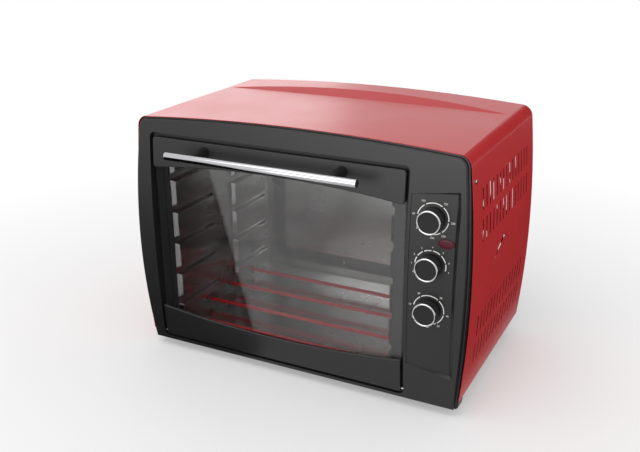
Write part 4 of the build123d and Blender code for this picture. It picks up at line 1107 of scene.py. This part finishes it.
@dataclass
class HeatingRod:
    """One sheathed rod with a sealed, recessed end on each side."""

    fitter: Assembler
    node: str
    sheath: float = 0.9 * MM
    seal_depth: float = 1.5 * MM
    sides: int = 40

    def build(self) -> None:
        """Make the rod in its node's place."""
        low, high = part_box(self.node)
        rod = round_bar((low + high) / 2, (high.z - low.z) / 2, high.x - low.x, ALONG_X, self.sides)
        with shaping(rod):
            pick_faces(rod, lambda place, normal: abs(normal.x) > FACING)
            bpy.ops.mesh.inset(thickness=self.sheath)
            bpy.ops.mesh.extrude_region_shrink_fatten(TRANSFORM_OT_shrink_fatten={"value": -self.seal_depth})
        self.fitter.fit(rod, f"{self.node}_sheath", "root", "heater_sheath", (self.node,))


@dataclass
class CrossHeadScrews:
    """Pan-head screws with a cross recess."""

    fitter: Assembler
    radius: float = 3.4 * MM
    head: float = 1.6 * MM
    shank_radius: float = 1.5 * MM
    cross_width: float = 0.75 * MM
    cross_length: float = 3.6 * MM
    cross_depth: float = 0.9 * MM
    head_round: float = 0.7 * MM
    head_sides: int = 40
    stem_sides: int = 24
    smooth: float = 30.0
    side_setback: float = 17.0 * MM
    side_height: float = 350.6 * MM
    rear_height: float = 21.1 * MM
    rear_columns: tuple[float, ...] = (-200.0 * MM, 0.0, 170.0 * MM)
    cover_shank: float = 6.0 * MM

    def screw(self, seat: Vector, outward: Vector, shank: float) -> bpy.types.Object:
        """Make one screw with its head on a seat.

        Args:
            seat: Middle of the head's underside.
            outward: Unit vector out of the head.
            shank: Length of the shank behind the seat.

        Returns:
            The screw.
        """
        turn = ALONG_Y if abs(outward.y) > FACING else ALONG_X
        head = round_bar(seat + outward * self.head / 2, self.radius, self.head, turn, self.head_sides)
        top = seat + outward * self.head
        with shaping(head):
            pick_edges(head, lambda end: (end - top).dot(outward) > -TOUCH)
            bpy.ops.mesh.bevel(offset=self.head_round, segments=4)
        side = Vector((0, 0, 1))
        across = outward.cross(side)
        for arm in (side, across):
            size = Vector([self.cross_width] * 3)
            for axis in range(3):
                if abs(arm[axis]) > FACING:
                    size[axis] = self.cross_length
                if abs(outward[axis]) > FACING:
                    size[axis] = 2 * self.cross_depth
            cutter = block(top, size)
            apply_modifier(head, "BOOLEAN", operation="DIFFERENCE", object=cutter)
            bpy.data.objects.remove(cutter)
        stem = round_bar(seat - outward * shank / 2, self.shank_radius, shank, turn, self.stem_sides)
        return join([head, stem])

    def build(self) -> None:
        """Make the screws of the cover and those that hold the handle."""
        low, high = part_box("cover_screws")
        seats = []
        for way, end in ((-1, low.x), (1, high.x)):
            seat = Vector((end - way * self.head, FACE_Y + self.side_setback, FACE_FOOT + self.side_height))
            seats.append((seat, Vector((way, 0, 0))))
        for column in self.rear_columns:
            seat = Vector((column, high.y - self.head, FACE_FOOT + self.rear_height))
            seats.append((seat, Vector((0, 1, 0))))
        cover = [self.screw(seat, outward, self.cover_shank) for seat, outward in seats]
        self.dress(cover, "cover_cross_screws", "root", "cover_screws")
        low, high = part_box("handle_screws")
        held = []
        for column in (low.x + self.radius, high.x - self.radius):
            seat = Vector((column, high.y - self.head, (low.z + high.z) / 2))
            held.append(self.screw(seat, Vector((0, 1, 0)), seat.y - low.y))
        self.dress(held, "handle_cross_screws", "door", "handle_screws")

    def dress(self, screws: list[bpy.types.Object], name: str, body: str, node: str) -> None:
        """Join like screws and fit them to their body.

        Args:
            screws: Screws of one group.
            name: Name of the group.
            body: CAD body that they ride on.
            node: CAD node that they stand for.
        """
        self.fitter.fit(join(screws), name, body, "bare_steel", (node,), self.smooth)


@dataclass(frozen=True)
class SoftPanel:
    """Soft light: its place and size in metres, and the radiance of its face, where 1 is white."""

    name: str
    place: tuple[float, float, float]
    size: tuple[float, float]
    brightness: float
    mirrored: bool = True

    def hang(self, aim: Vector) -> None:
        """Hang the panel so that it faces one point.

        Args:
            aim: Point that it faces.
        """
        bpy.ops.object.select_all(action="DESELECT")
        bpy.ops.object.light_add(type="AREA", location=self.place)
        light = bpy.context.object
        light.name = self.name
        light.data.shape = "RECTANGLE"
        light.data.size, light.data.size_y = self.size
        light.data.energy = self.brightness * pi * self.size[0] * self.size[1]
        light.rotation_euler = (aim - Vector(self.place)).to_track_quat("-Z", "Y").to_euler()
        light.visible_camera = False
        light.visible_glossy = self.mirrored


@dataclass(frozen=True)
class BlackCard:
    """Black card that only reflections see: its middle and sides in metres, its rotation in degrees."""

    name: str
    place: tuple[float, float, float]
    size: tuple[float, float]
    turn: tuple[float, float, float] = (0.0, 0.0, 0.0)

    def set_up(self) -> None:
        """Set the card up as part of the studio."""
        turn = tuple(radians(angle) for angle in self.turn)
        card = flat_sheet(Vector(self.place), self.size[0], self.size[1], turn)
        card.name = self.name
        material = bpy.data.materials.new(f"{self.name}_card")
        material.use_nodes = True
        tree = material.node_tree
        tree.nodes.clear()
        black = add_node(tree, "ShaderNodeBsdfDiffuse", {"Color": linear("#101010")})
        add_node(tree, "ShaderNodeOutputMaterial", {"Surface": black.outputs["BSDF"]})
        card.data.materials.append(material)
        card.visible_camera = False
        card.visible_diffuse = False
        card.visible_transmission = False
        card.visible_shadow = False


PANELS = (
    SoftPanel("back_panel", (-2.7, 2.9, 1.2), (2.6, 1.6), 1.3),
    SoftPanel("top_panel", (-0.4, -1.1, 2.4), (2.4, 1.8), 1.5),
    SoftPanel("front_panel", (-0.4, -3.0, 0.65), (2.0, 1.1), 4.0),
    SoftPanel("side_fill", (2.6, 0.3, 0.9), (1.6, 1.4), 1.6, mirrored=False),
)
CARDS = (
    BlackCard("side_flag", (0.89, 1.0, 1 * MM), (1.2, 3.2)),
    BlackCard("back_flag", (1.75, 3.2, 1.2), (3.4, 2.4), (90.0, 0.0, 0.0)),
    BlackCard("left_flag", (-0.962, -0.816, 1 * MM), (0.6, 2.1), (0.0, 0.0, -38.2)),
)


@dataclass
class Studio:
    """Pale floor, soft lights, white surroundings and the camera at the photograph's angle."""

    camera_place: tuple[float, float, float] = (0.58331, -1.195385, 0.71532)
    azimuth: float = 26.894
    elevation: float = 20.728
    roll: float = -0.414
    lens: float = 47.94
    sensor: float = 36.0
    nearest: float = 0.05
    floor_size: float = 16.0
    fade_from: float = 0.3
    fade_to: float = 1.15
    least_white: float = 0.3
    ambient: float = 0.5
    aim: tuple[float, float, float] = (0.0, 0.0, 0.2)

    def build(self) -> None:
        """Set up the camera, floor, surroundings, lights and cards."""
        self.camera()
        self.floor()
        self.surroundings()
        for panel in PANELS:
            panel.hang(Vector(self.aim))
        for card in CARDS:
            card.set_up()
        bpy.context.scene.view_settings.view_transform = "Standard"

    def camera(self) -> None:
        """Place the camera by its three angles."""
        turn, tilt, roll = (radians(angle) for angle in (self.azimuth, self.elevation, self.roll))
        ahead = Vector((-sin(turn) * cos(tilt), cos(turn) * cos(tilt), -sin(tilt)))
        right = Vector((cos(turn), sin(turn), 0.0))
        up = right.cross(ahead)
        across = right * cos(roll) + up * sin(roll)
        upright = up * cos(roll) - right * sin(roll)
        bpy.ops.object.select_all(action="DESELECT")
        bpy.ops.object.camera_add(location=self.camera_place)
        camera = bpy.context.object
        camera.name = "photo_camera"
        camera.rotation_euler = Matrix((across, upright, -ahead)).transposed().to_euler()
        camera.data.lens = self.lens
        camera.data.sensor_width = self.sensor
        camera.data.clip_start = self.nearest
        bpy.context.scene.camera = camera

    def floor(self) -> None:
        """Lay a pale floor that fades to white away from the object."""
        bpy.ops.object.select_all(action="DESELECT")
        bpy.ops.mesh.primitive_plane_add(size=self.floor_size)
        floor = bpy.context.object
        floor.name = "studio_floor"
        material = bpy.data.materials.new("studio_paper")
        material.use_nodes = True
        tree = material.node_tree
        tree.nodes.clear()
        place = add_node(tree, "ShaderNodeTexCoord").outputs["Object"]
        reach = add_node(tree, "ShaderNodeVectorMath", {0: place}, operation="LENGTH").outputs["Value"]
        fade = add_node(
            tree,
            "ShaderNodeMapRange",
            {
                "Value": reach,
                "From Min": self.fade_from,
                "From Max": self.fade_to,
                "To Min": self.least_white,
            },
        ).outputs["Result"]
        seen = self.seen(tree)
        white = add_node(tree, "ShaderNodeMath", {0: fade, 1: seen}, operation="MULTIPLY").outputs["Value"]
        paper = add_node(tree, "ShaderNodeBsdfDiffuse", {"Color": linear("#fafafa")}).outputs["BSDF"]
        bright = add_node(tree, "ShaderNodeEmission", {"Color": linear("#ffffff"), "Strength": 1.0})
        mix = add_node(tree, "ShaderNodeMixShader", {0: white, 1: paper, 2: bright.outputs["Emission"]})
        add_node(tree, "ShaderNodeOutputMaterial", {"Surface": mix.outputs["Shader"]})
        floor.data.materials.append(material)

    def seen(self, tree: bpy.types.NodeTree) -> bpy.types.NodeSocket:
        """Find out whether a ray looks: from the camera, from a reflection or through glass.

        Args:
            tree: Node tree that asks.

        Returns:
            Socket with 1 for such rays and 0 for those that gather light.
        """
        path = add_node(tree, "ShaderNodeLightPath").outputs
        looks = path["Is Camera Ray"]
        for kind in ("Is Glossy Ray", "Is Transmission Ray"):
            step = add_node(tree, "ShaderNodeMath", {0: looks, 1: path[kind]}, operation="MAXIMUM")
            looks = step.outputs["Value"]
        return looks

    def surroundings(self) -> None:
        """White to the eye and in reflections, softer as a light."""
        world = bpy.data.worlds.new("studio_white")
        bpy.context.scene.world = world
        world.use_nodes = True
        tree = world.node_tree
        tree.nodes.clear()
        strength = add_node(
            tree, "ShaderNodeMapRange", {"Value": self.seen(tree), "To Min": self.ambient, "To Max": 1.0}
        ).outputs["Result"]
        sky = add_node(tree, "ShaderNodeBackground", {"Color": linear("#ffffff"), "Strength": strength})
        add_node(tree, "ShaderNodeOutputWorld", {"Surface": sky.outputs["Background"]})


# Places of the marks round each dial in degrees from its right side, and their numbers
TEMPERATURE_MARKS = (
    (216.0, "0"),
    (171.6, "60"),
    (122.0, "100"),
    (54.0, "150"),
    (-6.0, "200"),
    (-55.0, "230"),
    (-89.0, "250"),
)
FUNCTION_MARKS = (
    (208.0, "0"),
    (180.0, "1"),
    (150.0, "2"),
    (119.0, "3"),
    (86.0, "4"),
    (51.0, "5"),
    (15.7, "6"),
    (-15.6, "7"),
)
TIMER_MARKS = (
    (213.0, "0"),
    (171.0, "10"),
    (122.5, "20"),
    (51.0, "30"),
    (-10.0, "40"),
    (-57.0, "50"),
    (-92.0, "60"),
)


def main() -> None:
    """Build every sub-assembly in order."""
    logging.basicConfig(level=logging.INFO, format="%(name)s: %(message)s")
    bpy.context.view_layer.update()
    bpy.ops.object.select_all(action="DESELECT")
    palette = Palette.mixed()
    palette.dress_nodes()
    fitter = Assembler(palette)
    DoorHandle(fitter).build()
    for name, marks in (
        ("temperature", TEMPERATURE_MARKS),
        ("function", FUNCTION_MARKS),
        ("timer", TIMER_MARKS),
    ):
        KnobFront(fitter, name, marks[0][0]).build()
        DialPrint(fitter, name, marks).build()
    LampLens(fitter).build()
    CavityWall(fitter, "cavity_left_wall", 1).build()
    CavityWall(fitter, "cavity_right_wall", -1).build()
    RoundedPressing(fitter, "cavity_back", "cavity_steel").build()
    for row in ("lower", "upper"):
        for number in (1, 2, 3, 4):
            HeatingRod(fitter, f"{row}_heater_{number}").build()
    CrossHeadScrews(fitter).build()
    Studio().build()


if __name__ == "__main__":
    main()
